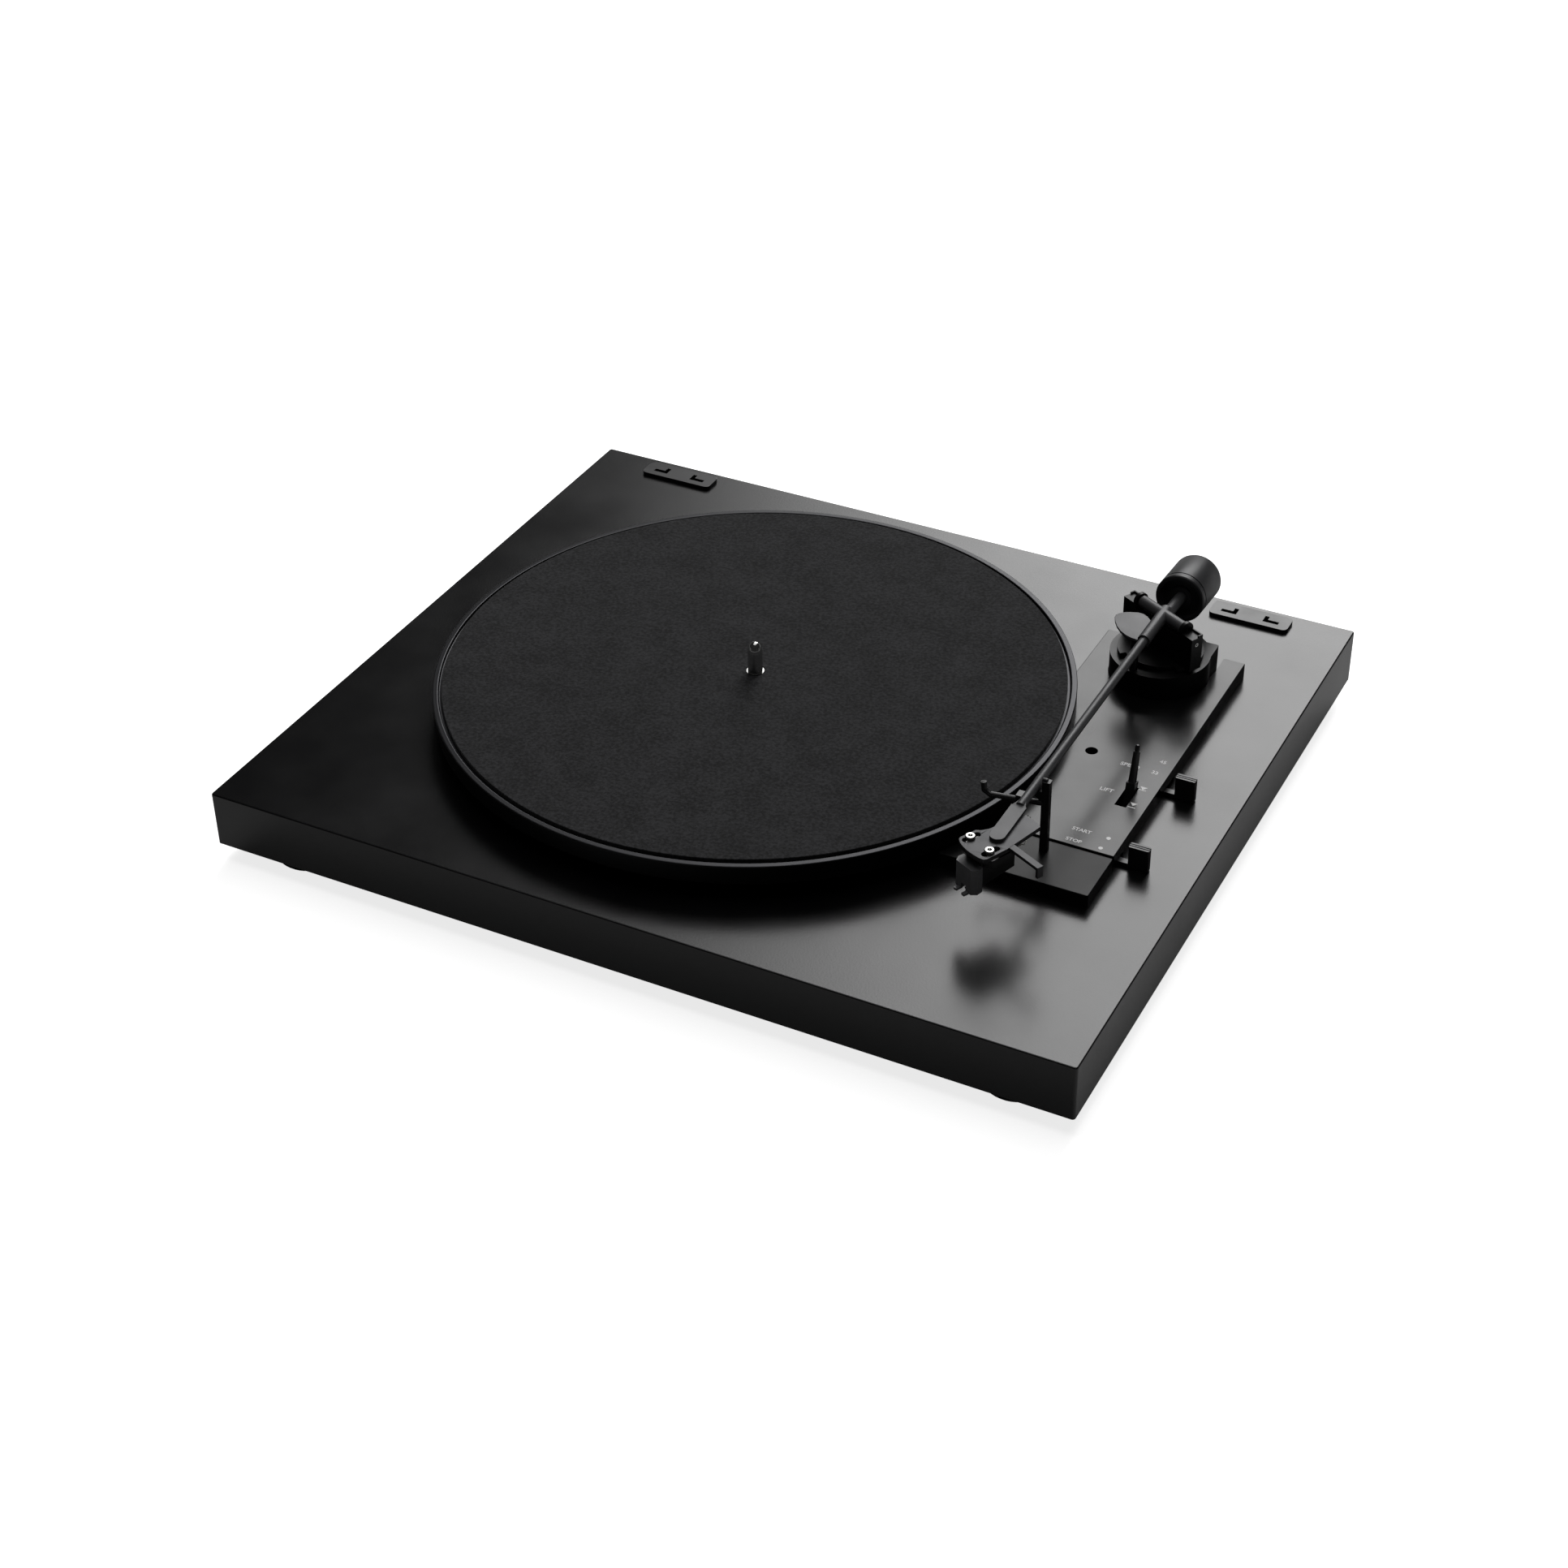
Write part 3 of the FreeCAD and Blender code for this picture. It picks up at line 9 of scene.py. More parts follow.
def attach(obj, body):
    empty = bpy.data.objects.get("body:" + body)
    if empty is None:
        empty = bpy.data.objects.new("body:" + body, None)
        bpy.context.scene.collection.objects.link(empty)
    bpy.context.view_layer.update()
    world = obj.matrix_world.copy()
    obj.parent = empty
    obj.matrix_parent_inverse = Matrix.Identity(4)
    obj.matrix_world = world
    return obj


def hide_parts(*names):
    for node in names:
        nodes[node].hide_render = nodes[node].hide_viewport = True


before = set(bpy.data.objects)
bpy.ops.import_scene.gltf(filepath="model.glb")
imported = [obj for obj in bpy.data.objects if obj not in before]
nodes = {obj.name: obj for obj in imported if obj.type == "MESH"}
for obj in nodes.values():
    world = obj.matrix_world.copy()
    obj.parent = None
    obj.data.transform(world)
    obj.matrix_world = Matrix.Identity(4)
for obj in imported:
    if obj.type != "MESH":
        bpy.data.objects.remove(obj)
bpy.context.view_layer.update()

# Plinth ----------------------------------------------------------------------
# A slab of medium-density fibreboard wrapped in black vinyl foil. The foil is
# satin and carries a fine embossed grain, so it mirrors the room softly.

MM = 0.001


def linear(code, alpha=1.0):
    """An sRGB hex colour as linear values: c/12.92 below 0.04045, else ((c+0.055)/1.055)^2.4."""
    rgb = [int(code[i : i + 2], 16) / 255 for i in (1, 3, 5)]
    rgb = [c / 12.92 if c <= 0.04045 else ((c + 0.055) / 1.055) ** 2.4 for c in rgb]
    return (*rgb, alpha)


def add(material, kind, settings=(), links=()):
    """Adds a shader node, sets its attributes or sockets by name, and links sockets to outputs."""
    node = material.node_tree.nodes.new("ShaderNode" + kind)
    for name, value in dict(settings).items():
        if hasattr(node, str(name)):
            setattr(node, name, value)
        else:
            node.inputs[name].default_value = value
    for name, output in dict(links).items():
        material.node_tree.links.new(output, node.inputs[name])
    return node


def new_material(name, **surface):
    """A material with one Principled shader; returns it with its shader and object coordinates."""
    material = bpy.data.materials.new(name)
    material.use_nodes = True
    material.node_tree.nodes.clear()
    shader = add(material, "BsdfPrincipled", surface)
    out = add(material, "OutputMaterial", {}, {"Surface": shader.outputs[0]})
    out.location = (300, 0)
    where = add(material, "TexCoord").outputs["Object"]
    return material, shader, where


def per_mm(size):
    """Noise scale that repeats about once in so many millimetres, in metres of object space."""
    return 1000.0 / size


def grained(name, low, high, patch, rough, grain, height, detail=2.0, **surface):
    """A satin surface: colour drifts from low to high over patches of that many mm, roughness
    drifts over the same patches, and a raised grain of that size and height in mm covers it."""
    material, shader, where = new_material(name, **surface)
    drift = add(material, "TexNoise", {"Scale": per_mm(patch), "Detail": 3.0}, {"Vector": where})
    tone = add(material, "Mix", {"data_type": "RGBA"}, {0: drift.outputs["Fac"]})
    tone.inputs[6].default_value = linear(low)
    tone.inputs[7].default_value = linear(high)
    gloss = add(material, "MapRange", {"From Min": 0.3, "From Max": 0.7, "To Min": rough[0],
                                       "To Max": rough[1]}, {0: drift.outputs["Fac"]})
    fine = add(material, "TexNoise", {"Scale": per_mm(grain), "Detail": detail}, {"Vector": where})
    raised = add(material, "Bump", {"Strength": 1.0, "Distance": height * MM},
                 {"Height": fine.outputs["Fac"]})
    links = material.node_tree.links
    links.new(tone.outputs[2], shader.inputs["Base Color"])
    links.new(gloss.outputs[0], shader.inputs["Roughness"])
    links.new(raised.outputs[0], shader.inputs["Normal"])
    return material


def wear(obj, material):
    """The material takes every slot of a piece."""
    obj.data.materials.clear()
    obj.data.materials.append(material)
    return obj


def keep(node, material, bevel=0.0, sharp=30.0):
    """A CAD node that stays: its triangles are welded, its edges eased, and curved faces smoothed."""
    obj = wear(nodes[node], material)
    obj.data.polygons.foreach_set("use_smooth", np.ones(len(obj.data.polygons), bool))
    weld = obj.modifiers.new("weld", "WELD")
    weld.merge_threshold = 0.002 * MM
    if bevel:
        ease = obj.modifiers.new("eased_edges", "BEVEL")
        ease.width = bevel * MM
        ease.segments = 3
        ease.limit_method = "ANGLE"
        ease.angle_limit = math.radians(35)
    split = obj.modifiers.new("sharp_edges", "EDGE_SPLIT")
    split.split_angle = math.radians(sharp)
    if bevel:
        flat = obj.modifiers.new("flat_faces_stay_flat", "WEIGHTED_NORMAL")
        flat.weight = 100
        flat.keep_sharp = True
    return obj


# vinyl foil: near black, satin, embossed grain of about 0.9 mm
foil = grained("black_vinyl_foil", "#040405", "#080809", 40.0, (0.22, 0.27), 0.9, 0.026,
               detail=3.0)
keep("plinth", foil, bevel=0.4)

# Bottom cover, its screws, and the feet ---------------------------------------
# The underside is closed by a dark hardboard plate held by black countersunk
# screws. Four moulded rubber feet are screwed through their middles.

# pressed hardboard: dull brown, faint fibre clumps about 0.8 mm across
hardboard = grained("pressed_hardboard", "#2a221b", "#3a3027", 12.0, (0.6, 0.75), 0.8, 0.03)
# black zinc plate: dark metal, slightly rough
black_zinc = grained("black_zinc_screw", "#141414", "#20201f", 3.0, (0.3, 0.45), 0.3, 0.004,
                     Metallic=0.8)
# bright zinc plate: pale grey metal, a little uneven
bright_zinc = grained("bright_zinc_screw", "#a9a8a2", "#c4c3bb", 3.0, (0.28, 0.4), 0.3, 0.004,
                      Metallic=1.0)
# moulded rubber: near black and dull
rubber = grained("moulded_rubber", "#0d0d0d", "#161616", 8.0, (0.6, 0.75), 0.5, 0.01)
keep("bottom_cover", hardboard)
keep("cover_screws", black_zinc)
keep("feet", rubber)
keep("foot_screws", bright_zinc)

# Sockets for the lid hinges ----------------------------------------------------
# Two black moulded plates stand 2 mm proud of the plinth's rear edge. Each has
# two L-shaped slots that take the hooks of a dust cover.

# moulded ABS: near black, satin, with fine spark-eroded texture
moulded = grained("moulded_abs_satin", "#101011", "#18181a", 15.0, (0.3, 0.4), 0.35, 0.006)
keep("hinge_socket_right", moulded, bevel=0.35)
keep("hinge_socket_left", moulded, bevel=0.35)

# Platter -----------------------------------------------------------------------
# A pressed and turned aluminium platter, dyed dark. The turning leaves fine
# rings, and its rim stands a little proud of the mat's seat.

SPIN = (-24.0, -6.5)
PLATTER_R = 153.5
RIM_TOP = 56.5
SEAT = 55.0


def eased(points, radius, steps=4, closed=True):
    """Every corner of an outline is cut back by the radius, at most 40 % of either side, and the
    cuts are joined by a quadratic curve about the corner. A support point guards each end."""
    p = np.asarray(points, float)
    before, after = np.roll(p, 1, 0) - p, np.roll(p, -1, 0) - p
    la = np.linalg.norm(before, axis=1)[:, None]
    lb = np.linalg.norm(after, axis=1)[:, None]
    cut = np.minimum(radius, 0.4 * np.minimum(la, lb))
    a, b = p + before / la * cut, p + after / lb * cut
    s = np.linspace(0, 1, steps + 1)[None, :, None]
    curve = (1 - s) ** 2 * a[:, None] + 2 * s * (1 - s) * p[:, None] + s**2 * b[:, None]
    guard = np.minimum(1.3 * cut, 0.45 * np.minimum(la, lb))
    lead, trail = p + before / la * guard, p + after / lb * guard
    rows = np.concatenate([lead[:, None], curve, trail[:, None]], 1)
    if closed:
        return rows.reshape(-1, p.shape[1])
    return np.concatenate([p[:1], rows[1:-1].reshape(-1, p.shape[1]), p[-1:]])


def shell(name, rows, wrap=False, caps=False, sharp=50.0):
    """A mesh from rows of points in mm. Neighbouring points join into quads; rows close on
    themselves, the last row joins the first when wrap is set, and caps fill the end rows."""
    rows = np.asarray(rows, float)
    n, m = rows.shape[:2]
    i = np.arange(n if wrap else n - 1)[:, None]
    j = np.arange(m)[None, :]
    nxt = (j + 1) % m
    quads = np.stack([i * m + j, i * m + nxt, (i + 1) % n * m + nxt, (i + 1) % n * m + j], -1)
    faces = quads.reshape(-1, 4).tolist()
    if caps:
        faces += [list(range(m))[::-1], list(range((n - 1) * m, n * m))]
    mesh = bpy.data.meshes.new(name)
    mesh.from_pydata((rows.reshape(-1, 3) * MM).tolist(), [], faces)
    work = bmesh.new()
    work.from_mesh(mesh)
    bmesh.ops.remove_doubles(work, verts=work.verts, dist=1e-6)
    bmesh.ops.recalc_face_normals(work, faces=work.faces)
    work.to_mesh(mesh)
    work.free()
    mesh.polygons.foreach_set("use_smooth", np.ones(len(mesh.polygons), bool))
    mesh.set_sharp_from_angle(angle=math.radians(sharp))
    obj = bpy.data.objects.new(name, mesh)
    bpy.context.scene.collection.objects.link(obj)
    return obj


def turned(profile, centre=(0, 0, 0), axis=(0, 0, 1), around=96):
    """Rows of a surface of revolution: point (r, h) of the profile goes to centre + h times the
    axis + r times the circle about it."""
    profile = np.asarray(profile, float)
    along = Vector(axis).normalized()
    u = along.orthogonal().normalized()
    v = along.cross(u)
    t = np.linspace(0, 2 * np.pi, around, endpoint=False)
    circle = np.cos(t)[:, None] * np.array(u) + np.sin(t)[:, None] * np.array(v)
    return (np.array(centre) + profile[:, 1, None, None] * np.array(along)
            + profile[:, 0, None, None] * circle[None])


def fit(obj, material, body, *stands_for, slot=None):
    """The piece takes its material, rides on its body and stands for CAD nodes."""
    wear(obj, material)
    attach(obj, body)
    if stands_for:
        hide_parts(*stands_for)
    return obj


def ring_lines(name, low, high, centre, pitch, height, rough, **surface):
    """Turned metal: noise on the distance from the turning axis makes rings of that pitch in mm,
    which lift the surface by that height and shift its tone and gloss."""
    material, shader, where = new_material(name, **surface)
    flat = add(material, "Mapping", {"Location": (-centre[0] * MM, -centre[1] * MM, 0.0),
                                     "Scale": (1.0, 1.0, 0.0)}, {"Vector": where})
    reach = add(material, "VectorMath", {"operation": "LENGTH"}, {0: flat.outputs[0]})
    rings = add(material, "TexNoise", {"noise_dimensions": "1D", "Scale": per_mm(pitch),
                                       "Detail": 4.0}, {"W": reach.outputs["Value"]})
    tone = add(material, "Mix", {"data_type": "RGBA"}, {0: rings.outputs["Fac"]})
    tone.inputs[6].default_value = linear(low)
    tone.inputs[7].default_value = linear(high)
    gloss = add(material, "MapRange", {"From Min": 0.3, "From Max": 0.7, "To Min": rough[0],
                                       "To Max": rough[1]}, {0: rings.outputs["Fac"]})
    raised = add(material, "Bump", {"Strength": 1.0, "Distance": height * MM},
                 {"Height": rings.outputs["Fac"]})
    links = material.node_tree.links
    links.new(tone.outputs[2], shader.inputs["Base Color"])
    links.new(gloss.outputs[0], shader.inputs["Roughness"])
    links.new(raised.outputs[0], shader.inputs["Normal"])
    return material


# dyed anodised aluminium: dark, with turning marks about 0.4 mm apart
anodised = ring_lines("dyed_anodised_aluminium", "#242426", "#2e2e31", SPIN, 0.4, 0.002,
                      (0.3, 0.4), Metallic=0.7)
# painted shade: the colour is multiplied down to 0.12 of itself on faces that turn away from straight
# up, so the rim's flat and other upward faces stay lighter than the wall
anodised_shader = anodised.node_tree.nodes["Principled BSDF"]
facing = add(anodised, "SeparateXYZ", {}, {0: add(anodised, "NewGeometry").outputs["Normal"]})
painted_shade_by_facing = add(anodised, "MapRange", {"From Min": 0.6, "From Max": 0.95, "To Min": 0.12,
                                     "To Max": 1.0}, {0: facing.outputs["Z"]})
tone_with_painted_shade = add(anodised, "Mix", {"data_type": "RGBA", "blend_type": "MULTIPLY", 0: 1.0},
           {6: anodised_shader.inputs["Base Color"].links[0].from_socket,
            7: painted_shade_by_facing.outputs[0]})
anodised.node_tree.links.new(tone_with_painted_shade.outputs[2], anodised_shader.inputs["Base Color"])
HUB_HOLE_R = 10.0
PLATE_T = 3.0
RIB_R, RIB_W, RIB_H = 130.0, 4.0, 2.0
WALL_T, WALL_H = 3.0, 9.5
r = PLATTER_R
under = SEAT - PLATE_T
low = RIM_TOP - WALL_H
profile = [(HUB_HOLE_R, under), (RIB_R, under), (RIB_R, under - RIB_H),
           (RIB_R + RIB_W, under - RIB_H), (RIB_R + RIB_W, under), (r - WALL_T - 0.4, under),
           (r - WALL_T, low), (r, low), (r, RIM_TOP), (r - WALL_T, RIM_TOP),
           (r - WALL_T, SEAT), (HUB_HOLE_R, SEAT)]
platter = shell("platter_turned", turned(eased(profile, 0.6), (*SPIN, 0), around=360), wrap=True)
fit(platter, anodised, "platter", "platter", slot="platter_metal")

# Felt mat ------------------------------------------------------------------------
# A disc of pressed wool felt 2.2 mm thick with a hole for the hub. Its fibres
# make a mottled, slightly fuzzy face, and its cut edge is square.

MAT_R = 148.9
MAT_T = 2.2
MAT_HOLE_R = 4.7
# pressed wool felt: near black, fibre clumps of 1.6 mm, a soft sheen and raised lint
wool, wool_shader, wool_at = new_material("pressed_wool_felt", **{
    "Roughness": 0.95, "Sheen Weight": 0.12, "Sheen Roughness": 0.5, "Specular IOR Level": 0.25})
clumps = add(wool, "TexNoise", {"Scale": per_mm(1.6), "Detail": 4.0, "Roughness": 0.7},
             {"Vector": wool_at})
cloud = add(wool, "TexNoise", {"Scale": per_mm(18.0), "Detail": 2.0}, {"Vector": wool_at})
both = add(wool, "Math", {"operation": "MULTIPLY_ADD", 1: 0.25}, {0: cloud.outputs["Fac"]})
wool.node_tree.links.new(clumps.outputs["Fac"], both.inputs[2])
shade = add(wool, "MapRange", {"From Min": 0.5, "From Max": 0.76}, {0: both.outputs[0]})
fibre_tone = add(wool, "Mix", {"data_type": "RGBA"}, {0: shade.outputs[0]})
fibre_tone.inputs[6].default_value = linear("#0d0d0e")
fibre_tone.inputs[7].default_value = linear("#2e2e30")
lint = add(wool, "Bump", {"Strength": 1.0, "Distance": 0.35 * MM}, {"Height": clumps.outputs["Fac"]})
wool.node_tree.links.new(fibre_tone.outputs[2], wool_shader.inputs["Base Color"])
wool.node_tree.links.new(lint.outputs[0], wool_shader.inputs["Normal"])
profile = [(MAT_HOLE_R, SEAT), (MAT_R, SEAT), (MAT_R, SEAT + MAT_T), (MAT_HOLE_R, SEAT + MAT_T)]
mat = shell("felt_mat_pressed", turned(eased(profile, 0.35), (*SPIN, 0), around=320), wrap=True)
fit(mat, wool, "platter", "felt_mat", slot="felt")

# Spindle, hub and bearing ----------------------------------------------------------
# The ground steel spindle is pressed into the moulded subplatter and turns in a
# brass sleeve under the plinth. Its top is rounded so that records find it.

# ground steel: bright, with fine rings from the grinding wheel
steel = ring_lines("ground_steel", "#a8a8a8", "#cfcfcd", SPIN, 0.3, 0.0008, (0.12, 0.2),
                   Metallic=1.0)
# glass-filled nylon: black and dull, with a coarse moulded skin
nylon = grained("glass_filled_nylon", "#131313", "#1d1d1c", 6.0, (0.4, 0.55), 0.4, 0.01)
# natural acetal: milky white, smooth
acetal = grained("natural_acetal", "#d2d0c4", "#dedcd2", 10.0, (0.35, 0.45), 0.5, 0.004)
# turned brass: warm yellow metal
brass = grained("turned_brass", "#a98943", "#c4a35a", 5.0, (0.22, 0.34), 0.3, 0.003,
                Metallic=1.0)
keep("spindle", steel)
keep("subplatter", nylon)
keep("drive_pinion", acetal)
keep("bearing_housing", brass)

# Motor, pulley and belt --------------------------------------------------------------
# A small direct-current motor hangs in rubber grommets. Its brass pulley drives
# the subplatter through a ground rubber belt.

# plated motor steel: grey metal, satin
tin = grained("plated_motor_steel", "#8e8e8c", "#a2a29e", 8.0, (0.3, 0.42), 0.4, 0.004,
              Metallic=1.0)
# zinc-plated sheet: pale metal with a faint spangle of 7 mm
zinc_sheet = grained("zinc_plated_sheet", "#989790", "#b1b0a8", 7.0, (0.32, 0.46), 0.8,
                     0.004, Metallic=1.0)
# ground belt rubber: black and dull
belt = grained("ground_belt_rubber", "#0b0b0b", "#131313", 4.0, (0.55, 0.7), 0.25, 0.006)
keep("motor_can", tin)
keep("motor_bracket", zinc_sheet)
keep("motor_grommets", belt)
keep("motor_shaft", steel)
keep("motor_pulley", brass)
keep("drive_belt", belt)

# Automatic gear ------------------------------------------------------------------------
# The large moulded gear has a cam groove; a pressed lever follows the groove and
# moves the arm at the end of a record. Pins and screws hold both.

keep("cam_gear", acetal)
keep("chassis_pins", bright_zinc)
keep("main_lever", zinc_sheet)
keep("chassis_screws", bright_zinc)
keep("set_screw", black_zinc)
keep("start_stop_slide", zinc_sheet)

# Control deck ----------------------------------------------------------------------------
# Two moulded shells carry the arm base, the levers and the arm rest. They are
# sprayed a satin near-black, and the marks are printed in white.

# sprayed deck paint: near black, satin, less shiny than the foil
sprayed = grained("sprayed_deck_paint", "#080809", "#0d0d0e", 20.0, (0.22, 0.28), 0.3, 0.002,
                  **{"Specular IOR Level": 0.33})
# moulded front piece: the same black, but matt
matt_shell = grained("moulded_front_piece", "#09090a", "#0e0e0f", 20.0, (0.36, 0.42), 0.3, 0.003,
                     **{"Specular IOR Level": 0.16})
keep("deck_panel", sprayed, bevel=0.3)
keep("arm_rest_base", matt_shell, bevel=0.3)
keep("start_stop_lever", moulded, bevel=0.3)
keep("speed_lever", moulded, bevel=0.3)
keep("lift_lever", moulded, bevel=0.2)
keep("lift_bracket", zinc_sheet)
keep("lift_link", acetal)
keep("lift_bar", moulded)
keep("arm_rest", moulded, bevel=0.2)

# White ink, about 0.02 mm thick, printed on the deck in a plain typeface. Words
# read from the front; the lift marks are a triangle over a line.

# screen ink: white, flat
ink = grained("white_screen_ink", "#dcdcdc", "#f0f0f0", 1.2, (0.5, 0.6), 0.15, 0.002)
DECK_TOP = 46.0


def printed(name, outlines):
    """Flat closed outlines in mm become one mesh of thin plates on the deck's face."""
    mesh = bpy.data.meshes.new(name)
    work = bmesh.new()
    for outline in outlines:
        face = work.faces.new([work.verts.new((x * MM, y * MM, (DECK_TOP + 0.005) * MM))
                               for x, y in outline])
        top = bmesh.ops.extrude_face_region(work, geom=[face])["geom"]
        bmesh.ops.translate(work, vec=(0, 0, 0.02 * MM),
                            verts=[v for v in top if isinstance(v, bmesh.types.BMVert)])
    bmesh.ops.recalc_face_normals(work, faces=work.faces)
    work.to_mesh(mesh)
    work.free()
    obj = bpy.data.objects.new(name, mesh)
    bpy.context.scene.collection.objects.link(obj)
    return obj


def lettering(name, word, x, y, width):
    """A word as mesh: its middle stands at x, y in mm and it is scaled to the width in mm."""
    text = bpy.data.curves.new(name + "_type", "FONT")
    text.body = word
    text.extrude = 0.001
    text.offset = 0.018
    source = bpy.data.objects.new(name + "_type", text)
    bpy.context.scene.collection.objects.link(source)
    bpy.context.view_layer.update()
    mesh = bpy.data.meshes.new_from_object(source)
    bpy.data.objects.remove(source)
    co = np.zeros(len(mesh.vertices) * 3)
    mesh.vertices.foreach_get("co", co)
    co = co.reshape(-1, 3)
    low, high = co.min(0), co.max(0)
    size = width / (high[0] - low[0])
    co[:, :2] = (co[:, :2] - (low + high)[:2] / 2) * size + (x, y)
    co[:, 2] = DECK_TOP + 0.015 + np.sign(co[:, 2]) * 0.01
    mesh.vertices.foreach_set("co", (co * MM).reshape(-1))
    obj = bpy.data.objects.new(name, mesh)
    bpy.context.scene.collection.objects.link(obj)
    return obj


def dot(x, y, radius):
    """The outline of a printed dot: twenty points on a circle."""
    return [(x + radius * math.cos(a), y + radius * math.sin(a))
            for a in np.linspace(0, 2 * math.pi, 20, endpoint=False)]


for name, word, x, y, width in (("mark_start", "START", 159.2, -42.3, 9.0),
                                ("mark_stop", "STOP", 158.7, -50.6, 7.4),
                                ("mark_lift", "LIFT", 157.7, -8.6, 6.4),
                                ("mark_speed", "SPEED", 160.2, 13.9, 9.2),
                                ("mark_45", "45", 172.9, 23.0, 3.0),
                                ("mark_33", "33", 172.5, 13.5, 3.0)):
    fit(lettering(name, word, x, y, width), ink, "chassis", slot="deck_paint")
dots = printed("mark_dots", [dot(172.1, -42.7, 1.05), dot(171.6, -50.9, 1.05)])
fit(dots, ink, "chassis", slot="deck_paint")
lift_marks = printed("mark_lift_positions", [
    [(170.6, 0.6), (172.3, -1.7), (174.0, 0.6)],
    [(170.5, -2.2), (174.1, -2.2), (174.1, -1.7), (170.5, -1.7)],
    [(171.0, -12.9), (172.7, -15.2), (174.4, -12.9)],
    [(170.9, -16.7), (174.5, -16.7), (174.5, -16.2), (170.9, -16.2)]])
fit(lift_marks, ink, "chassis", slot="deck_paint")

# Tonearm bearing ---------------------------------------------------------------------------
# A cast base carries the gimbal. The arm turns on a vertical shaft, and rises
# between two pointed screws in the gimbal's posts.

# painted casting: deep black, slightly uneven
cast = grained("painted_casting", "#060606", "#0a0a0a", 9.0, (0.3, 0.38), 0.5, 0.004,
               **{"Specular IOR Level": 0.22})
keep("pivot_base", cast, bevel=0.3)
keep("pivot_bearings", steel)
keep("yoke_shaft", steel)
keep("gimbal_yoke", cast, bevel=0.12)
keep("gimbal_screws", steel)
keep("arm_segment", zinc_sheet)

# Tonearm --------------------------------------------------------------------------------------
# Straight drawn aluminium tube in a thicker sleeve, both lacquered satin grey.
# The weight slides on the tail.

# satin lacquer on aluminium: mid grey with a trace of metal
arm_lacquer = grained("satin_grey_lacquer", "#3e3e40", "#484849", 14.0, (0.42, 0.5), 0.3, 0.003,
                      Metallic=0.25)
# the weight's lacquer: the same kind, darker
weight_lacquer = grained("dark_grey_lacquer", "#29292b", "#313133", 14.0, (0.38, 0.46), 0.3,
                         0.003, Metallic=0.2)
keep("arm_sleeve", arm_lacquer)
keep("arm_tube", arm_lacquer, bevel=0.15)
keep("side_plate", arm_lacquer, bevel=0.15)
keep("counterweight", weight_lacquer)

# Headshell and cartridge ---------------------------------------------------------------------------
# A pressed aluminium plate holds the cartridge by two screws, half an inch apart.
# The stylus holder slides on from the front.

# headshell lacquer: dark grey, satin
head_lacquer = grained("headshell_lacquer", "#262628", "#2f2f31", 10.0, (0.34, 0.42), 0.3, 0.003,
                       Metallic=0.5)
# cartridge body: black moulded ABS
cartridge_abs = grained("cartridge_abs", "#0d0d0e", "#151516", 5.0, (0.3, 0.42), 0.3, 0.004)
# stylus holder: grey moulded ABS
holder_abs = grained("stylus_holder_abs", "#58585a", "#636365", 5.0, (0.35, 0.45), 0.3, 0.004)
# bare aluminium: bright metal
cantilever = grained("bare_aluminium", "#b4b4b4", "#cccccc", 2.0, (0.2, 0.3), 0.2, 0.002,
                     Metallic=1.0)
# insulation of the leads: pale grey
wire = grained("lead_insulation", "#8d8d88", "#a2a29c", 3.0, (0.4, 0.5), 0.3, 0.004)
keep("headshell", head_lacquer, bevel=0.25)
keep("finger_lift", head_lacquer, bevel=0.15)
# polished nickel: bright, nearly smooth
nickel = grained("polished_nickel", "#bdbdbb", "#d6d6d3", 2.0, (0.1, 0.18), 0.2, 0.001,
                 Metallic=1.0)
keep("headshell_screws", nickel, bevel=0.1)
keep("cartridge_body", cartridge_abs, bevel=0.15)
keep("stylus_holder", holder_abs, bevel=0.15)
keep("stylus", cantilever)
keep("cartridge_leads", wire)

# Rear panel and electronics ---------------------------------------------------------------------------
# A recessed moulded panel carries the phono sockets, the ground post, the line
# switch and the power inlet, which stand on one circuit board.

# gold-plated brass: yellow metal, nearly polished
gold = grained("gold_plated_brass", "#c79d4d", "#dab562", 4.0, (0.18, 0.28), 0.3, 0.002,
               Metallic=1.0)
# white insulator: moulded, satin
insulator = grained("white_insulator", "#c9c7c2", "#d8d6d1", 3.0, (0.4, 0.5), 0.3, 0.004)
# solder mask on laminate: dark green, with the weave of 0.6 mm under it
laminate = grained("solder_mask_laminate", "#0f3a22", "#17492c", 3.0, (0.25, 0.4), 0.6, 0.006)
keep("rear_panel", moulded, bevel=0.3)
keep("rca_shells", gold)
keep("rca_inserts", insulator)
keep("ground_stud", brass)
keep("ground_nut", gold)
keep("line_switch", moulded)
keep("line_switch_knob", moulded)
keep("dc_inlet", moulded)
keep("circuit_board", laminate)

# Studio -----------------------------------------------------------------------------------------------
# A pale sweep of floor, one large soft panel behind, a soft one above, and a
# camera that looks down from the front right.

floor_mesh = bpy.data.meshes.new("studio_floor")
half = 12.0  # metres
floor_mesh.from_pydata([(-half, -half, 0), (half, -half, 0), (half, half, 0), (-half, half, 0)],
                       [], [(0, 1, 2, 3)])
floor = bpy.data.objects.new("studio_floor", floor_mesh)
bpy.context.scene.collection.objects.link(floor)
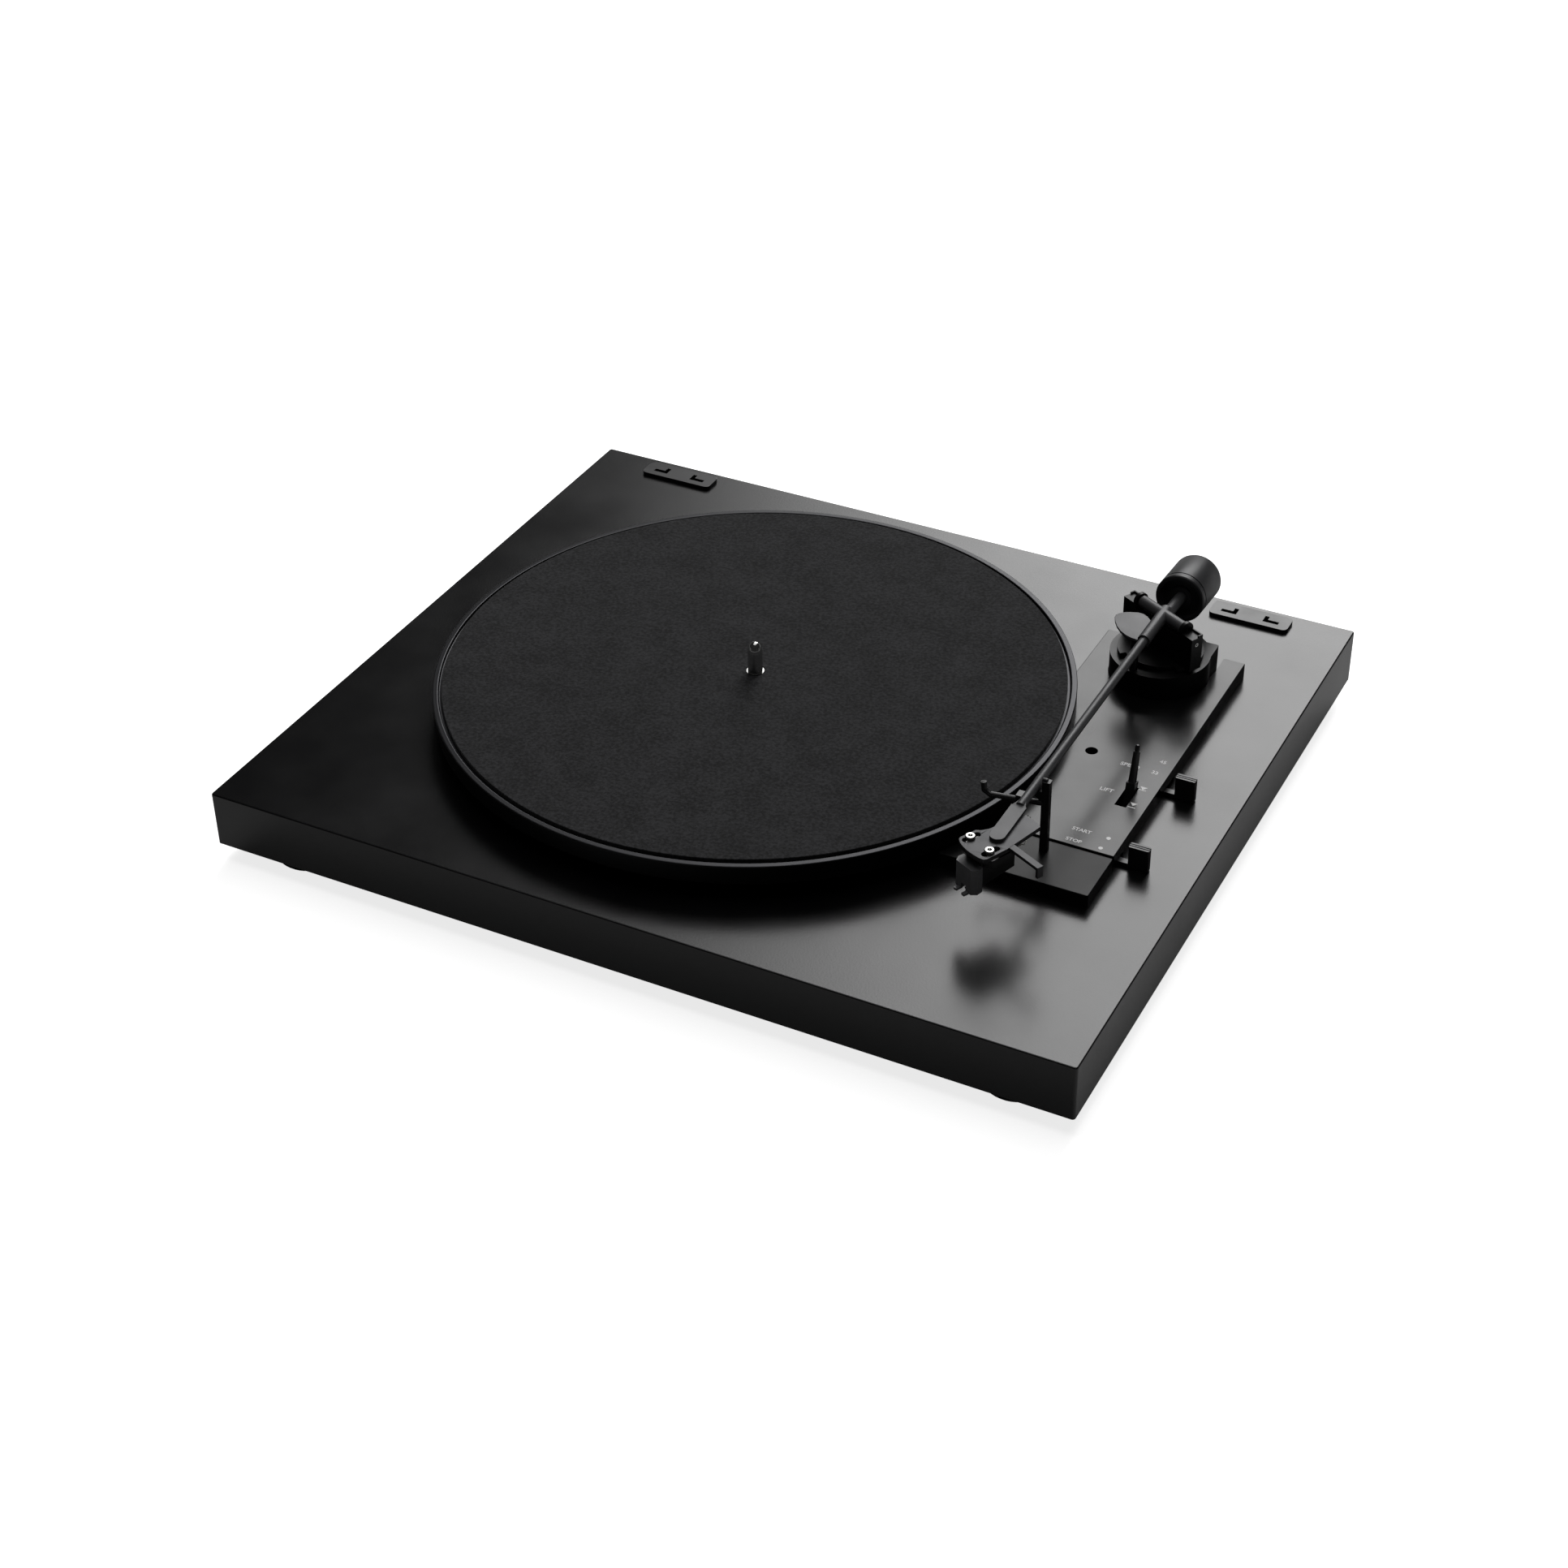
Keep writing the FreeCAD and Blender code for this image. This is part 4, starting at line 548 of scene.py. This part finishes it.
# white paper: seen as white by the camera; for the object's reflections it is a mid grey
paper, paper_shader, _ = new_material("white_paper", Roughness=1.0)
ray = add(paper, "LightPath")
paper_tone = add(paper, "Mix", {"data_type": "RGBA"}, {0: ray.outputs["Is Camera Ray"]})
paper_tone.inputs[6].default_value = (0.55, 0.55, 0.55, 1)
paper_tone.inputs[7].default_value = (0.95, 0.95, 0.95, 1)
paper.node_tree.links.new(paper_tone.outputs[2], paper_shader.inputs["Base Color"])
paper_shader.inputs["Specular IOR Level"].default_value = 0.0
paper_shader.inputs["Emission Color"].default_value = (1, 1, 1, 1)
lit = add(paper, "Math", {"operation": "MULTIPLY", 1: 0.8}, {0: ray.outputs["Is Camera Ray"]})
paper.node_tree.links.new(lit.outputs[0], paper_shader.inputs["Emission Strength"])
wear(floor, paper)


def soft_panel(name, azimuth, elevation, distance, size, radiance, fade=0.02, aim=(0, 0, 0.04)):
    """A glowing sheet: azimuth is turned from +Y towards +X. Its radiance climbs from zero at the
    left edge to full over the fade, a share of the width."""
    a, e = math.radians(azimuth), math.radians(elevation)
    w, h = size[0] / 2, size[1] / 2
    mesh = bpy.data.meshes.new(name)
    mesh.from_pydata([(-w, -h, 0), (w, -h, 0), (w, h, 0), (-w, h, 0)], [], [(0, 1, 2, 3)])
    panel = bpy.data.objects.new(name, mesh)
    bpy.context.scene.collection.objects.link(panel)
    place = Vector((math.sin(a) * math.cos(e), math.cos(a) * math.cos(e), math.sin(e))) * distance
    panel.matrix_world = (Matrix.Translation(Vector(aim) + place)
                          @ place.to_track_quat("Z", "Y").to_matrix().to_4x4())
    glow = bpy.data.materials.new(name + "_cloth")
    glow.use_nodes = True
    glow.node_tree.nodes.clear()
    across = add(glow, "SeparateXYZ", {}, {0: add(glow, "TexCoord").outputs["Object"]})
    ramp = add(glow, "MapRange", {"From Min": w, "From Max": w - fade * size[0], "To Min": 0.0,
                                  "To Max": radiance}, {0: across.outputs["X"]})
    cloth = add(glow, "Emission", {}, {"Strength": ramp.outputs[0]})
    add(glow, "OutputMaterial", {}, {"Surface": cloth.outputs[0]})
    wear(panel, glow)
    panel.visible_camera = False
    return panel


soft_panel("rear_panel_light", -13.2, 40.0, 3.0, (1.86, 2.4), 5.4, fade=0.36)
soft_panel("top_front_light", 10.0, 88.0, 3.0, (2.6, 2.6), 1.2)

world = bpy.data.worlds.new("studio")
bpy.context.scene.world = world
world.use_nodes = True
world.node_tree.nodes["Background"].inputs[0].default_value = (1, 1, 1, 1)
world.node_tree.nodes["Background"].inputs[1].default_value = 0.025

# the camera stands this far from a point on the plinth's top, turned and tilted by these angles
DISTANCE = 1.290867
AIM = Vector((0.034429, -0.02639, 0.038))
azimuth, elevation, roll = math.radians(26.271), math.radians(35.161), math.radians(-0.103)
back = Vector((math.sin(azimuth) * math.cos(elevation), -math.cos(azimuth) * math.cos(elevation),
               math.sin(elevation)))
right = Vector((math.cos(azimuth), math.sin(azimuth), 0))
up = back.cross(right)
right, up = (math.cos(roll) * right + math.sin(roll) * up,
             math.cos(roll) * up - math.sin(roll) * right)
lens = bpy.data.cameras.new("camera")
lens.sensor_width = 36.0
lens.lens = 63.252
lens.shift_x, lens.shift_y = -0.0401, -0.01807
lens.clip_start, lens.clip_end = 0.05, 50.0
camera = bpy.data.objects.new("camera", lens)
bpy.context.scene.collection.objects.link(camera)
turn = Matrix((right, up, back)).transposed().to_4x4()
camera.matrix_world = Matrix.Translation(AIM + back * DISTANCE) @ turn
bpy.context.scene.camera = camera
bpy.context.scene.view_settings.view_transform = "Standard"
